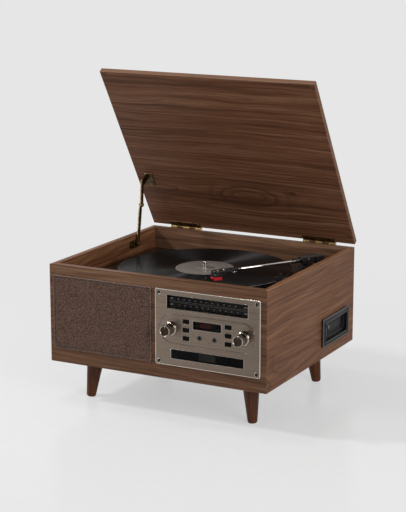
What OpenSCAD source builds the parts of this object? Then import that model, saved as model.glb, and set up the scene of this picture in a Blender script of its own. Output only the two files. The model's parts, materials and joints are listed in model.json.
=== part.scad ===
// Stereo music centre: a walnut cabinet on four splayed legs with a record deck under a hinged lid,
// a radio and disc panel beside one cloth grille, and a cassette slot in the right side.
// Lengths are millimetres. Sizes are worked out in the cabinet's own coordinates: x = 0 at the left
// side, y = 0 at the front face, z = 0 at the underside of the box. in_frame() then moves the whole
// object so that its origin is the bottom centre of its bounding box, on the floor, with +Z up.
// The lid is drawn open on its stay and every other moving piece at rest.

/* [Cabinet] */
// Width of the cabinet
cab_w = 400; // [380:1:480]
// Depth of the cabinet
cab_d = 352; // [340:1:430]
// Height of the cabinet without lid and legs
cab_h = 167; // [160:1:210]
// Thickness of the side panels
side_t = 10; // [8:0.5:12]
// Thickness of the front and back panels
front_t = 12; // [10:0.5:15]
// Thickness of the bottom panel
bottom_t = 9; // [6:0.5:12]
// Depth of the deck below the cabinet's rim
deck_drop = 38; // [36:0.5:46]
// Thickness of the deck
deck_t = 3; // [2.5:0.5:4]

/* [Legs] */
// Height of the legs, floor to box
leg_h = 69; // [50:1:100]
// Diameter of a leg at the box
leg_top_d = 31; // [22:0.5:34]
// Diameter of a leg at the floor
leg_foot_d = 16.5; // [13:0.5:20]
// Outward splay of a leg in degrees
leg_splay = 8; // [0:0.5:9]
// Foot centre to the cabinet's side
leg_inset_x = 47; // [40:1:60]
// Foot centre to the cabinet's front or back
leg_inset_y = 48; // [40:1:60]

/* [Lid] */
// Thickness of the lid
lid_t = 9; // [8:0.5:12]
// Opening angle that the stay allows
lid_open = 58; // [50:1:65]
// Gap between the closed lid and the rim
lid_gap = 1.5; // [1.4:0.1:2]
// Width of each butt hinge
hinge_w = 62; // [40:1:80]
// Hinge to the cabinet's side
hinge_inset = 36.5; // [30:0.5:60]
// Stay bracket to the lid's rear edge
stay_on_lid = 114; // [110:1:118]

/* [Grille and speakers] */
// Width of the cloth grille
grille_w = 186.5; // [184:0.5:188]
// Height of the cloth grille and of the control panel
face_h = 126; // [124:1:130]
// Margin under the grille and the panel
face_z = 24; // [20:1:28]
// Margin left of the grille
grille_x = 7; // [6:0.5:9]
// How far the grille stands out of the front
grille_out = 2.6; // [1:0.1:4]
// Outer diameter of each full-range driver
driver_d = 77; // [65:1:78]

/* [Control panel] */
// Width of the metal panel
panel_w = 188; // [186:1:192]
// Thickness of the metal panel
panel_t = 3; // [2:0.1:4]
// Margin right of the panel
panel_margin = 10; // [8:0.5:14]
// How far the knobs stand out of the panel
knob_out = 22; // [14:0.5:26]
// Radius of a knob's base flange
knob_r = 11.5; // [9:0.25:12]
// Travel of a push button
button_travel = 1; // [0.5:0.1:1.2]
// Travel of the dial pointer each way
pointer_travel = 52; // [40:1:60]

/* [Record deck] */
// Radius of the platter
platter_r = 150; // [140:0.5:151]
// Platter top above the deck
platter_top = 13; // [12:0.5:16]
// Radius of the spindle that a record sits on
spindle_r = 3.56; // [3.5:0.01:3.6]
// Platter centre from the left side
platter_x = 193.6; // [190:0.1:196]
// Platter centre from the front
platter_y = 186.1; // [180:0.1:188]
// Radius of the belt rim under the platter
belt_rim_r = 99.6; // [80:0.1:105]
// Radius of the motor pulley
pulley_r = 5.6; // [4:0.1:7]

/* [Tonearm] */
// Pivot to stylus
arm_len = 185; // [175:0.5:190]
// Direction of the arm at rest, in degrees from +X
arm_angle = -122; // [-126:0.5:-120]
// Pivot from the right side of the cabinet
arm_pivot_x = 50; // [48:0.5:54]
// Pivot from the back of the cabinet
arm_pivot_y = 90; // [86:0.5:94]
// Height of the arm tube's axis above the deck
arm_rise = 29; // [28:0.5:30]

/* [Disc and cassette] */
// Width of the disc slot in the panel
disc_slot_w = 130.5; // [128:0.5:136]
// Height of the disc slot in the panel
disc_slot_h = 15.8; // [14:0.1:17]
// Travel of the disc tray
tray_travel = 130; // [100:1:132]
// Width of the cassette surround
cas_w = 109.5; // [105:0.5:118]
// Height of the cassette surround
cas_h = 49; // [46:0.5:56]
// Cassette surround from the front of the cabinet
cas_y = 213; // [205:1:215]
// Cassette surround from the underside of the cabinet
cas_z = 20.5; // [18:0.5:24]
// How far the cassette surround stands out of the side
cas_out = 4; // [2:0.5:6]

/* [Hidden] */
$fn = 64;

// Clearances: rest is between pieces that don't touch, run is a shaft in its bore
rest = 0.3;
run = 0.05;
eps = 0.01;

// Lid, hinges and pins
leaf_t = 1.2;
leaf_d = 10;
leaf_back = 20;
knuckle_r = 3;
hinge_pin_r = 1.2;
knuckles = 5;
pin_y = cab_d + knuckle_r + 0.2;
pin_z = cab_h + 1;
lid_z = cab_h + lid_gap;

// Front face
panel_x = cab_w - panel_margin - panel_w;
panel_cx = panel_x + panel_w / 2;
grille_pocket = 5;
grille_round = 3;
cloth_t = 0.8;
panel_round = 2.5;
opening_half = 83;
opening_low = face_z + 9;
opening_high = face_z + face_h - 7.5;

// Heights on the control panel, from its lower edge
dial_z = 95;
dial_half = 72.5;
dial_h = 22.5;
display_z = 65.5;
display_half = 25.4;
display_h = 14;
button_w = 12;
button_h = 7;
button_half = 37.7;
button_rows = [76.6, 62.5, 48.7];
knob_half = 65;
knob_z = 62.5;
jack_half = 13.4;
jack_z = 52.4;
disc_slot_z = 12.3;
screw_half = 87.5;
screw_low = 5.8;
screw_high = 119.5;
stadium_half = 86.5;
stadium_r = 24.8;

// Knobs and what carries them
knob_body_r = 9.5;
knob_flange_t = 4;
shaft_r = 3;
shaft_in = 9;
board_y = front_t + 1;
board_t = 1.6;
board_half = 82;
board_low = 38.5;
board_high = 88;
standoff_r = 3;
drum_r = 5.5;
jack_bore_r = 1.8;
jack_bore_len = 14;

// Record deck
deck_z = cab_h - deck_drop;
platter_z = deck_z + platter_top;
platter_plate_t = 3.5;
platter_rim_t = 4;
sub_rim_t = 3;
pad_r = 50;
pad_t = 0.6;
hub_r = 12;
bush_flange_t = 2;
bush_r = 7;
bush_len = 21;
bush_shaft_r = 3;
pulley_dist = 125;
pulley_dir = 135;
belt_t = 1;
belt_h = 4.4;
pulley_flange_t = 0.8;
motor_r = 17;
motor_h = 28;
motor_shaft_r = 1;
pulley_pos = [platter_x + pulley_dist * cos(pulley_dir), platter_y + pulley_dist * sin(pulley_dir)];
pulley_low = deck_z + 2.5;
pulley_high = platter_z - platter_plate_t - 0.5;

// Tonearm
arm_pos = [cab_w - arm_pivot_x, cab_d - arm_pivot_y];
arm_z = deck_z + arm_rise;
arm_tube_r = 3;
arm_shell_from = 133;
arm_shell_half = 8;
arm_swing_out = 33;
arm_base_r = 14;
arm_base_flange_r = 18;
arm_base_top = deck_z + 17;
arm_block_half = 7.4;
arm_ear_t = 3;
arm_tail = 28;
arm_pin_r = 1.5;
arm_rest_dist = 123;
cue_x = cab_w - 22;
cue_y = arm_pos[1] + 6;
cue_z = deck_z + 9;
cue_len = 24;
speed_pos = [cab_w - 28, 60];
speed_travel = 12;

// Lid stay: two arms in planes side by side along the left wall
stay_w = 9;
stay_t = 2;
stay_x = side_t + 3;
stay_pin_r = 2;
stay_low = [pin_y - 85.4, cab_h - 17];
stay_shut = [cab_d - stay_on_lid, lid_z - 13.5];
stay_fold_drop = 14.5;
stay_slack = 0.1;

// Turning by -lid_open about the hinge pin takes a point of the shut lid to the open lid
function opened(p) = [
    pin_y + (p[0] - pin_y) * cos(lid_open) + (p[1] - pin_z) * sin(lid_open),
    pin_z - (p[0] - pin_y) * sin(lid_open) + (p[1] - pin_z) * cos(lid_open)
];
stay_up = opened(stay_shut);

// The arms reach straight when the lid is open, and fold under the rim when it is shut. The lower
// arm's length a solves a + |fold - shut| = reach, where the fold lies stay_fold_drop below the
// lower pin, so both arms follow from the two brackets.
stay_reach = norm(stay_up - stay_low) + stay_slack;
fold_e = stay_low[0] - stay_shut[0];
fold_f = stay_shut[1] - stay_low[1] + stay_fold_drop;
fold_c = stay_reach * stay_reach + stay_fold_drop * stay_fold_drop - fold_e * fold_e - fold_f * fold_f;
fold_q = 4 * (stay_reach * stay_reach - fold_e * fold_e);
fold_root = pow(4 * stay_reach * fold_c, 2)
    - 4 * fold_q * (fold_c * fold_c + pow(2 * fold_e * stay_fold_drop, 2));
stay_a = (4 * stay_reach * fold_c + sqrt(fold_root)) / (2 * fold_q);
stay_b = stay_reach - stay_a;
stay_fold = stay_low + [-sqrt(stay_a * stay_a - stay_fold_drop * stay_fold_drop), -stay_fold_drop];
stay_line = atan2(stay_up[1] - stay_low[1], stay_up[0] - stay_low[0]);
stay_span = norm(stay_up - stay_low);
stay_bend = acos((stay_a * stay_a + stay_span * stay_span - stay_b * stay_b) / (2 * stay_a * stay_span));
stay_low_angle = stay_line - stay_bend;
stay_knee = stay_low + stay_a * [cos(stay_low_angle), sin(stay_low_angle)];
stay_up_angle = atan2(stay_knee[1] - stay_up[1], stay_knee[0] - stay_up[0]);
stay_low_shut = atan2(stay_fold[1] - stay_low[1], stay_fold[0] - stay_low[0]);
stay_up_shut = atan2(stay_fold[1] - stay_shut[1], stay_fold[0] - stay_shut[0]);

// Disc tray
tray_half = 63.5;
tray_z = face_z + disc_slot_z + 2.7;
tray_t = 6;
tray_len = 150;
disc_r = 60.5;
disc_y = 66;
chassis_half = 70;
chassis_wall = 4;
chassis_low = face_z + 2;
chassis_high = face_z + 26;

// Cassette unit
cas_tub_y = cas_y + 13;
cas_tub_w = 90;
cas_tub_z = cas_z + 7.5;
cas_tub_h = 32;
cas_wall = 2;
cas_back_x = cab_w - 5;
flap_y = cas_tub_y + 22;
flap_w = 65;
flap_t = 1.6;
flap_low = cas_z + 12.9;
flap_high = cas_z + 33.3;
flap_pin_r = 0.6;
mech_wall = 2;
mech_len = 104;
cas_button_y = cas_tub_y + 14;
cas_button_z = cas_tub_z + 23;
cas_button_r = 3.5;
cas_button_travel = 3;

// The whole object, for the origin at the bottom centre of its bounding box
lid_back = opened([cab_d, lid_z + lid_t])[0];
x_mid = (cab_w + cas_out) / 2;
y_mid = (lid_back - panel_t - knob_out) / 2;

walnut = "#6b4a39";
walnut_dark = "#4e3328";
black = "#1b1b1c";
brass = "#6f6244";
champagne = "#8b837a";
chrome = "#c9c9c9";
green = "#27553a";

module in_frame() translate([-x_mid, -y_mid, leg_h]) children();

// Everything on the lid is drawn with the lid shut and then opened about the hinge pin
module on_lid() {
    translate([0, pin_y, pin_z]) rotate([-lid_open, 0, 0]) translate([0, -pin_y, -pin_z]) children();
}

// Tonearm coordinates: x along the arm from the pivot to the stylus, y outwards, z above the tube's axis
module on_arm() translate([arm_pos[0], arm_pos[1], arm_z]) rotate([0, 0, arm_angle]) children();

module block(x, y, z) translate([x[0], y[0], z[0]]) cube([x[1] - x[0], y[1] - y[0], z[1] - z[0]]);

module rod_x(r, x, y, z) translate([x[0], y, z]) rotate([0, 90, 0]) cylinder(r = r, h = x[1] - x[0]);

module rod_y(r, y, x, z) translate([x, y[1], z]) rotate([90, 0, 0]) cylinder(r = r, h = y[1] - y[0]);

module rod_z(r, z, x, y) translate([x, y, z[0]]) cylinder(r = r, h = z[1] - z[0]);

module rounded(w, h, r) {
    translate([r, 0]) square([w - 2 * r, h]);
    translate([0, r]) square([w, h - 2 * r]);
    for (x = [r, w - r], y = [r, h - r]) translate([x, y]) circle(r);
}

// Rounded plates facing the front and facing the right side
module plate_y(x, z, w, h, r, y) {
    translate([x, y[1], z]) rotate([90, 0, 0]) linear_extrude(y[1] - y[0]) rounded(w, h, r);
}

module plate_x(y, z, w, h, r, x) {
    translate([x[0], y, z]) rotate([90, 0, 90]) linear_extrude(x[1] - x[0]) rounded(w, h, r);
}

// Walls with mitred corners
module side_wall() {
    linear_extrude(cab_h) polygon([[0, 0], [side_t, front_t], [side_t, cab_d - front_t], [0, cab_d]]);
}

module front_wall() {
    linear_extrude(cab_h) polygon([[0, 0], [cab_w, 0], [cab_w - side_t, front_t], [side_t, front_t]]);
}

module left_side_panel() color(walnut) side_wall();

module right_side_panel() {
    color(walnut) difference() {
        translate([cab_w, 0, 0]) mirror([1, 0, 0]) side_wall();
        block([cab_w - side_t - 1, cab_w + 1],
            [cas_tub_y - cas_wall - rest, cas_tub_y + cas_tub_w + cas_wall + rest],
            [cas_tub_z - cas_wall - rest, cas_tub_z + cas_tub_h + cas_wall + rest]);
    }
}

// The drivers hang as high as the deck above them allows
driver_gap = 1.5;
driver_z = deck_z - deck_t - driver_gap - driver_d / 2;
driver_x = [grille_x + grille_w / 4, grille_x + grille_w * 3 / 4];
cone_r = driver_d / 2 - 5;

module front_board() {
    color(walnut) difference() {
        front_wall();
        plate_y(grille_x - rest, face_z - rest, grille_w + 2 * rest, face_h + 2 * rest,
            grille_round + rest, [-1, grille_pocket]);
        for (x = driver_x) rod_y(cone_r, [0, front_t + 1], x, driver_z);
        block([panel_cx - opening_half, panel_cx + opening_half], [-1, front_t + 1],
            [opening_low, opening_high]);
        for (x = [-screw_half, screw_half], z = [screw_low, screw_high])
            rod_y(1.4, [-1, 9], panel_cx + x, face_z + z);
    }
}

// Positions of the rear sockets and of the power cord's gland
socket_z = 50;
socket_x = [90, 108];
gland_x = 140;
gland_bore_r = 3.5;
terminal_hole_r = 7.2;

module back_panel() {
    color(walnut_dark) difference() {
        translate([0, cab_d, 0]) mirror([0, 1, 0]) front_wall();
        for (x = concat(socket_x, [gland_x]))
            rod_y(terminal_hole_r, [cab_d - front_t - 1, cab_d + 1], x, socket_z);
    }
}

module bottom_panel() {
    color(walnut_dark) difference() {
        block([side_t, cab_w - side_t], [front_t, cab_d - front_t], [0, bottom_t]);
        each_leg() leg_bolt(4.1);
    }
}

cleat_w = 12;
cleat_h = 14;

module deck_cleats() {
    color(walnut_dark)
        for (x = [side_t, cab_w - side_t - cleat_w])
            block([x, x + cleat_w], [30, cab_d - 30], [deck_z - deck_t - cleat_h, deck_z - deck_t]);
}

// Legs: the top of each leans inwards by the splay, so the foot's centre sets the place
leg_plate_t = 2.5;
leg_plate_w = 44;
leg_bolt_r = 4;
leg_bolt_len = 7;
leg_round = 5;
leg_lean = leg_h * tan(leg_splay) / sqrt(2);

module each_leg() {
    for (mx = [0, 1], my = [0, 1])
        translate([mx * cab_w, my * cab_d, 0]) mirror([mx, 0, 0]) mirror([0, my, 0]) children();
}

function leg_outline(foot, top, length, round) = concat(
    [[0, 0]],
    [for (a = [0 : 15 : 90]) [foot - round + round * sin(a), round - round * cos(a)]],
    [[top, length], [0, length]]
);

module leg() {
    intersection() {
        translate([leg_inset_x, leg_inset_y, -leg_h - 1]) rotate(leg_splay, [-1, 1, 0])
            rotate_extrude() polygon(leg_outline(leg_foot_d / 2, leg_top_d / 2, leg_h + 6, leg_round));
        block([0, cab_w / 2], [0, cab_d / 2], [-leg_h, -leg_plate_t]);
    }
}

module leg_bolt(r) {
    translate([leg_inset_x + leg_lean, leg_inset_y + leg_lean, -eps]) cylinder(r = r, h = leg_bolt_len + eps);
}

module legs() color("#4a2c20") each_leg() leg();

module leg_plates() {
    color(brass) each_leg() {
        translate([leg_inset_x + leg_lean - leg_plate_w / 2, leg_inset_y + leg_lean - leg_plate_w / 2,
            -leg_plate_t]) linear_extrude(leg_plate_t) rounded(leg_plate_w, leg_plate_w, 4);
        leg_bolt(leg_bolt_r);
    }
}

// Grille: an open frame with cloth stretched over its front and turned in over its edges
module grille_frame() {
    bar = 9;
    color(black) difference() {
        plate_y(grille_x + cloth_t, face_z + cloth_t, grille_w - 2 * cloth_t, face_h - 2 * cloth_t,
            grille_round, [-grille_out + cloth_t, grille_pocket]);
        for (x = [grille_x + bar, grille_x + grille_w / 2 + bar / 2])
            plate_y(x, face_z + bar, (grille_w - 3 * bar) / 2, face_h - 2 * bar, 4,
                [-grille_out, grille_pocket + 1]);
    }
}

module grille_cloth() {
    color("#5a4a44") difference() {
        plate_y(grille_x, face_z, grille_w, face_h, grille_round, [-grille_out, grille_pocket - 1]);
        plate_y(grille_x + cloth_t, face_z + cloth_t, grille_w - 2 * cloth_t, face_h - 2 * cloth_t,
            grille_round, [-grille_out + cloth_t, grille_pocket]);
    }
}

// One driver, seated on the back of the front board: frame with magnet, and the paper cone
module driver_frame() {
    rotate([-90, 0, 0]) rotate_extrude() polygon([
        [cone_r, 0], [driver_d / 2, 0], [driver_d / 2, 3], [cone_r + 1, 3], [22, 24], [22, 40],
        [0, 40], [0, 24], [20, 24], [cone_r - 0.5, 2.4]
    ]);
}

module driver_cone() {
    rotate([-90, 0, 0]) rotate_extrude() polygon([
        [0, 12], [9, 12], [9, 15], [cone_r - 3, 1], [cone_r - 0.6, 1], [cone_r - 0.6, 2],
        [cone_r - 3, 2], [9, 17], [0, 17]
    ]);
}

module speaker_drivers() {
    for (x = driver_x) translate([x, front_t, driver_z]) {
        color(black) driver_frame();
        color("#2d2c2b") driver_cone();
    }
}

// Control panel
module panel_hole(x, z, w, h, r) plate_y(panel_cx + x - w / 2, face_z + z, w, h, r, [-panel_t - 1, 1]);

module stadium(half, r, y) plate_y(panel_cx - half, face_z + knob_z - r, 2 * half, 2 * r, r - 0.01, y);

module control_faceplate() {
    groove = 0.35;
    line = 0.4;
    color(champagne) {
        difference() {
            plate_y(panel_x, face_z, panel_w, face_h, panel_round, [-panel_t, 0]);
            panel_hole(0, dial_z, 2 * dial_half, dial_h, 1);
            panel_hole(0, display_z, 2 * display_half, display_h, 1);
            for (x = [-button_half, button_half], z = button_rows)
                panel_hole(x, z - button_h / 2 - rest, button_w + 2 * rest, button_h + 2 * rest, 0.6);
            panel_hole(0, disc_slot_z, disc_slot_w, disc_slot_h, 0.8);
            for (x = [-knob_half, knob_half])
                rod_y(shaft_r + run, [-panel_t - 1, 1], panel_cx + x, face_z + knob_z);
            for (x = [-jack_half, jack_half])
                rod_y(jack_r + rest, [-panel_t - 1, 1], panel_cx + x, face_z + jack_z);
            for (x = [-screw_half, screw_half], z = [screw_low, screw_high])
                translate([panel_cx + x, 0, face_z + z]) {
                    rod_y(1.7, [-panel_t - 1, 1], 0, 0);
                    translate([0, -panel_t + 1.6, 0]) rotate([90, 0, 0]) cylinder(r1 = 1.7, r2 = 3.4, h = 1.6 + eps);
                }
            difference() {
                stadium(stadium_half, stadium_r, [-panel_t - 1, -panel_t + groove]);
                stadium(stadium_half - line, stadium_r - line, [-panel_t - 2, -panel_t + groove + 1]);
            }
        }
        for (x = [-76, 76], z = [42, 85])
            rod_y(standoff_r, [0, board_y], panel_cx + x, face_z + z);
    }
}

module faceplate_screws() {
    color("#3a3836")
        for (x = [-screw_half, screw_half], z = [screw_low, screw_high])
            translate([panel_cx + x, 0, face_z + z]) difference() {
                union() {
                    rod_y(1.3, [-panel_t + 1.5, 8], 0, 0);
                    translate([0, -panel_t + 1.5, 0]) rotate([90, 0, 0]) cylinder(r1 = 1.5, r2 = 3, h = 1.4);
                }
                for (a = [0, 90])
                    rotate([0, a, 0]) block([-1.8, 1.8], [-panel_t - 1, -panel_t + 0.9], [-0.35, 0.35]);
            }
}

module fascia_windows() {
    gap = 0.1;
    color("#202022") {
        plate_y(panel_cx - dial_half + gap, face_z + dial_z + gap, 2 * dial_half - 2 * gap,
            dial_h - 2 * gap, 1, [-panel_t + 0.6, -panel_t + 2.2]);
        plate_y(panel_cx - display_half + gap, face_z + display_z + gap, 2 * display_half - 2 * gap,
            display_h - 2 * gap, 1, [-panel_t + 0.6, -panel_t + 2.2]);
    }
}

scale_half = 74;
scale_y = 3.6;
shelf_high = dial_z - 3;

module dial_scale() {
    color(black) {
        block([panel_cx - scale_half, panel_cx + scale_half], [scale_y, scale_y + 2],
            [face_z + shelf_high, opening_high - 0.4]);
        block([panel_cx - scale_half, panel_cx + scale_half], [0.6, board_y],
            [face_z + shelf_high - 2, face_z + shelf_high]);
    }
}

pointer_at = -18;

module dial_pointer() {
    color("#d8482c") {
        block([panel_cx + pointer_at - 0.5, panel_cx + pointer_at + 0.5], [1.2, 2.2],
            [face_z + shelf_high + 1.5, face_z + dial_z + dial_h - 1]);
        block([panel_cx + pointer_at - 3, panel_cx + pointer_at + 3], [1, 3],
            [face_z + shelf_high + rest, face_z + shelf_high + 2]);
    }
}

jack_r = 3.4;

module jack_sockets() {
    color(black)
        for (x = [-jack_half, jack_half])
            translate([panel_cx + x, 0, face_z + jack_z]) difference() {
                union() {
                    rod_y(jack_r, [-panel_t - 0.3, 1], 0, 0);
                    block([-5, 5], [0, board_y], [-5, 5]);
                }
                rod_y(jack_bore_r, [-panel_t - 1, -panel_t - 0.3 + jack_bore_len], 0, 0);
            }
}

// The board behind the panel, with the key switches, the display and the two shaft bearings
module control_board() {
    color(green)
        block([panel_cx - board_half, panel_cx + board_half], [board_y, board_y + board_t],
            [face_z + board_low, face_z + board_high]);
    color("#303030") {
        for (x = [-button_half, button_half], z = button_rows)
            block([panel_cx + x - 3, panel_cx + x + 3], [board_y - 5, board_y],
                [face_z + z - 3, face_z + z + 3]);
        for (x = [-knob_half, knob_half]) difference() {
            block([panel_cx + x - 8, panel_cx + x + 8], [board_y - 7, board_y],
                [face_z + knob_z - 8, face_z + knob_z + 8]);
            rod_y(shaft_r + run, [board_y - 8, board_y + 1], panel_cx + x, face_z + knob_z);
        }
        block([panel_cx - display_half + 1, panel_cx + display_half - 1], [0.4, board_y],
            [face_z + display_z, face_z + display_z + display_h]);
    }
}

// A knob turns in its bearing behind the panel. The tuning knob also carries the cord drum that
// moves the pointer.
module knob() {
    ribs = 36;
    difference() {
        rotate([90, 0, 0]) rotate_extrude() polygon([
            [0, rest], [knob_r - 0.6, rest], [knob_r, rest + 0.6], [knob_r, knob_flange_t - 1],
            [knob_r - 1.2, knob_flange_t], [knob_body_r, knob_flange_t], [knob_body_r, knob_out - 1],
            [knob_body_r - 1, knob_out], [knob_body_r - 2.2, knob_out], [knob_body_r - 2.8, knob_out - 0.6],
            [0, knob_out - 0.6]
        ]);
        for (i = [0 : ribs - 1])
            rotate([0, i * 360 / ribs, 0])
                block([knob_body_r - 0.35, knob_body_r + 1], [-knob_out + 2.5, -knob_flange_t - 1.5],
                    [-0.3, 0.3]);
    }
}

module volume_knob() {
    color(chrome) translate([panel_cx - knob_half, -panel_t, face_z + knob_z]) {
        knob();
        rod_y(shaft_r, [-1, panel_t + shaft_in], 0, 0);
    }
}

module tuning_knob() {
    color(chrome) translate([panel_cx + knob_half, -panel_t, face_z + knob_z]) {
        knob();
        rod_y(shaft_r, [-1, panel_t + shaft_in], 0, 0);
        rod_y(drum_r, [panel_t + 1, panel_t + 5], 0, 0);
    }
}

// Buttons 1 to 3 are the left column from the top, 4 to 6 the right column
module function_button(column, row) {
    stem_back = board_y - 5 - button_travel - rest;
    color(black) translate([panel_cx + column * button_half, 0, face_z + button_rows[row]]) {
        plate_y(-button_w / 2, -button_h / 2, button_w, button_h, 0.5, [-panel_t - 0.9, 1.5]);
        block([-2.5, 2.5], [1, stem_back], [-2, 2]);
    }
}

// Disc tray and its mechanism
module cd_tray() {
    front_z = face_z + disc_slot_z;
    color(black) {
        plate_y(panel_cx - disc_slot_w / 2 + rest, front_z + rest, disc_slot_w - 2 * rest,
            disc_slot_h - 2 * rest, 0.6, [-panel_t + 0.4, -panel_t + 2.4]);
        difference() {
            block([panel_cx - tray_half, panel_cx + tray_half], [-panel_t + 2, tray_len],
                [tray_z, tray_z + tray_t]);
            rod_z(disc_r, [tray_z + tray_t - 2, tray_z + tray_t + 1], panel_cx, disc_y);
            block([panel_cx - 18, panel_cx + 18], [disc_y - 12, tray_len - 10], [tray_z - 1, tray_z + tray_t]);
        }
    }
}

module cd_mechanism() {
    y0 = front_t + 2;
    y1 = y0 + 160;
    inner = chassis_half - chassis_wall;
    color("#8f9093") {
        block([panel_cx - chassis_half, panel_cx + chassis_half], [y0, y1], [chassis_low, chassis_low + 2]);
        for (s = [-1, 1]) {
            block([panel_cx + min(s * inner, s * chassis_half), panel_cx + max(s * inner, s * chassis_half)],
                [y0, y1], [chassis_low, chassis_high]);
            block([panel_cx + min(s * inner, s * (inner - 5)), panel_cx + max(s * inner, s * (inner - 5))],
                [y0, y1], [tray_z - rest - 3, tray_z - rest]);
        }
        block([panel_cx - chassis_half, panel_cx + chassis_half], [y0 + 40, y0 + 66],
            [chassis_high - 2, chassis_high]);
        for (x = [-60, 60], y = [y0 + 12, y1 - 12])
            rod_z(4, [bottom_t, chassis_low], panel_cx + x, y);
        block([panel_cx - 20, panel_cx + 20], [disc_y - 8, disc_y + 66], [chassis_low, tray_z - 5]);
        rod_z(7, [tray_z - 5, tray_z - 1], panel_cx, disc_y);
    }
}

// Deck
module deck_plate() {
    stem_w = 2.4;
    stem_l = 4;
    color(black) difference() {
        block([side_t + 0.3, cab_w - side_t - 0.3], [front_t + 0.3, cab_d - front_t - 0.3],
            [deck_z - deck_t, deck_z]);
        rod_z(bush_r + 0.2, [0, cab_h], platter_x, platter_y);
        rod_z(4, [0, cab_h], pulley_pos[0], pulley_pos[1]);
        rod_z(9.2, [0, cab_h], arm_pos[0], arm_pos[1]);
        block([speed_pos[0] - stem_w / 2 - rest, speed_pos[0] + stem_w / 2 + rest],
            [speed_pos[1] - stem_l / 2 - 0.5, speed_pos[1] + stem_l / 2 + speed_travel + 0.5], [0, cab_h]);
    }
}

module bearing_bush() {
    color(brass) difference() {
        union() {
            rod_z(hub_r, [deck_z, deck_z + bush_flange_t], platter_x, platter_y);
            rod_z(bush_r, [deck_z - bush_len, deck_z + eps], platter_x, platter_y);
        }
        rod_z(bush_shaft_r + run, [deck_z - bush_len + 2, cab_h], platter_x, platter_y);
    }
}

module motor() {
    color("#9a9a9a") difference() {
        union() {
            rod_z(motor_r, [deck_z - deck_t - motor_h, deck_z - deck_t - 2], pulley_pos[0], pulley_pos[1]);
            translate([pulley_pos[0] - 24, pulley_pos[1] - 18, deck_z - deck_t - 2 - eps])
                linear_extrude(2 + eps) rounded(48, 36, 5);
        }
        rod_z(motor_shaft_r + run, [deck_z - deck_t - 14, cab_h], pulley_pos[0], pulley_pos[1]);
    }
}

module motor_pulley() {
    x = pulley_pos[0];
    y = pulley_pos[1];
    color(brass) {
        rod_z(pulley_r, [pulley_low, pulley_high], x, y);
        rod_z(pulley_r + 1.4, [pulley_low, pulley_low + pulley_flange_t], x, y);
        rod_z(pulley_r + 1.4, [pulley_high - pulley_flange_t, pulley_high], x, y);
        rod_z(motor_shaft_r, [deck_z - deck_t - 13, pulley_low + eps], x, y);
    }
}

// The belt's two straight runs are tangents, so its outline is the hull of the two rims
module belt_outline(grow) {
    hull() {
        translate([platter_x, platter_y]) circle(belt_rim_r + grow, $fn = 120);
        translate(pulley_pos) circle(pulley_r + grow, $fn = 32);
    }
}

module drive_belt() {
    middle = (pulley_low + pulley_high) / 2;
    color("#161616") translate([0, 0, middle - belt_h / 2]) linear_extrude(belt_h) difference() {
        belt_outline(rest + belt_t);
        belt_outline(rest);
    }
}

module platter() {
    under = platter_z - platter_plate_t;
    low = deck_z + 2;
    color(black) translate([platter_x, platter_y, 0]) rotate_extrude($fn = 180) polygon(concat(
        [[spindle_low_r, deck_z + bush_flange_t + rest], [hub_r, deck_z + bush_flange_t + rest], [hub_r, under],
        [belt_rim_r - sub_rim_t, under], [belt_rim_r - sub_rim_t, deck_z + 2.5], [belt_rim_r, deck_z + 2.5],
        [belt_rim_r, under], [platter_r - platter_rim_t, under], [platter_r - platter_rim_t, low],
        [platter_r, low], [platter_r, platter_z - 1]],
        [for (a = [15 : 15 : 75]) [platter_r - 1 + cos(a), platter_z - 1 + sin(a)]],
        [[platter_r - 1, platter_z], [spindle_low_r, platter_z]]
    ));
}

spindle_low_r = 3.2;
spindle_rise = 8.9;
spindle_dome = 3;

module centre_pad() {
    color("#8a8783") difference() {
        rod_z(pad_r, [platter_z, platter_z + pad_t], platter_x, platter_y);
        rod_z(spindle_low_r, [platter_z - 1, platter_z + 1], platter_x, platter_y);
    }
}

module spindle() {
    top = platter_z + pad_t + spindle_rise;
    color(chrome) translate([platter_x, platter_y, 0]) rotate_extrude() polygon(concat(
        [[0, deck_z - bush_len + 2.3], [bush_shaft_r, deck_z - bush_len + 2.3],
        [bush_shaft_r, deck_z + bush_flange_t + rest], [spindle_low_r, deck_z + bush_flange_t + rest],
        [spindle_low_r, platter_z + pad_t], [spindle_r, platter_z + pad_t]],
        [for (a = [0 : 15 : 90]) [spindle_r * cos(a), top + spindle_dome * sin(a)]]
    ));
}

// Tonearm base on the deck, with the two ears of the cue lever
cue_ear_t = 2;
cue_half = 2.6;

module tonearm_base() {
    ear_from = cue_half + rest;
    color(black) difference() {
        union() {
            rod_z(arm_base_flange_r, [deck_z, deck_z + 2.5], arm_pos[0], arm_pos[1]);
            block([arm_pos[0], cue_x + ear_from + cue_ear_t], [cue_y - 9, cue_y + 9], [deck_z, deck_z + 2.5]);
            rod_z(arm_base_r, [deck_z, arm_base_top], arm_pos[0], arm_pos[1]);
            rod_z(9, [deck_z - 16, deck_z + 1], arm_pos[0], arm_pos[1]);
            for (x = [cue_x - ear_from - cue_ear_t, cue_x + ear_from]) {
                block([x, x + cue_ear_t], [cue_y - 4, cue_y + 4], [deck_z, cue_z]);
                rod_x(4, [x, x + cue_ear_t], cue_y, cue_z);
            }
        }
        rod_z(bush_shaft_r + run, [deck_z - 14, cab_h], arm_pos[0], arm_pos[1]);
        for (x = [cue_x - ear_from - cue_ear_t, cue_x + ear_from])
            rod_x(1.55, [x - 1, x + cue_ear_t + 1], cue_y, cue_z);
    }
}

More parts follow.
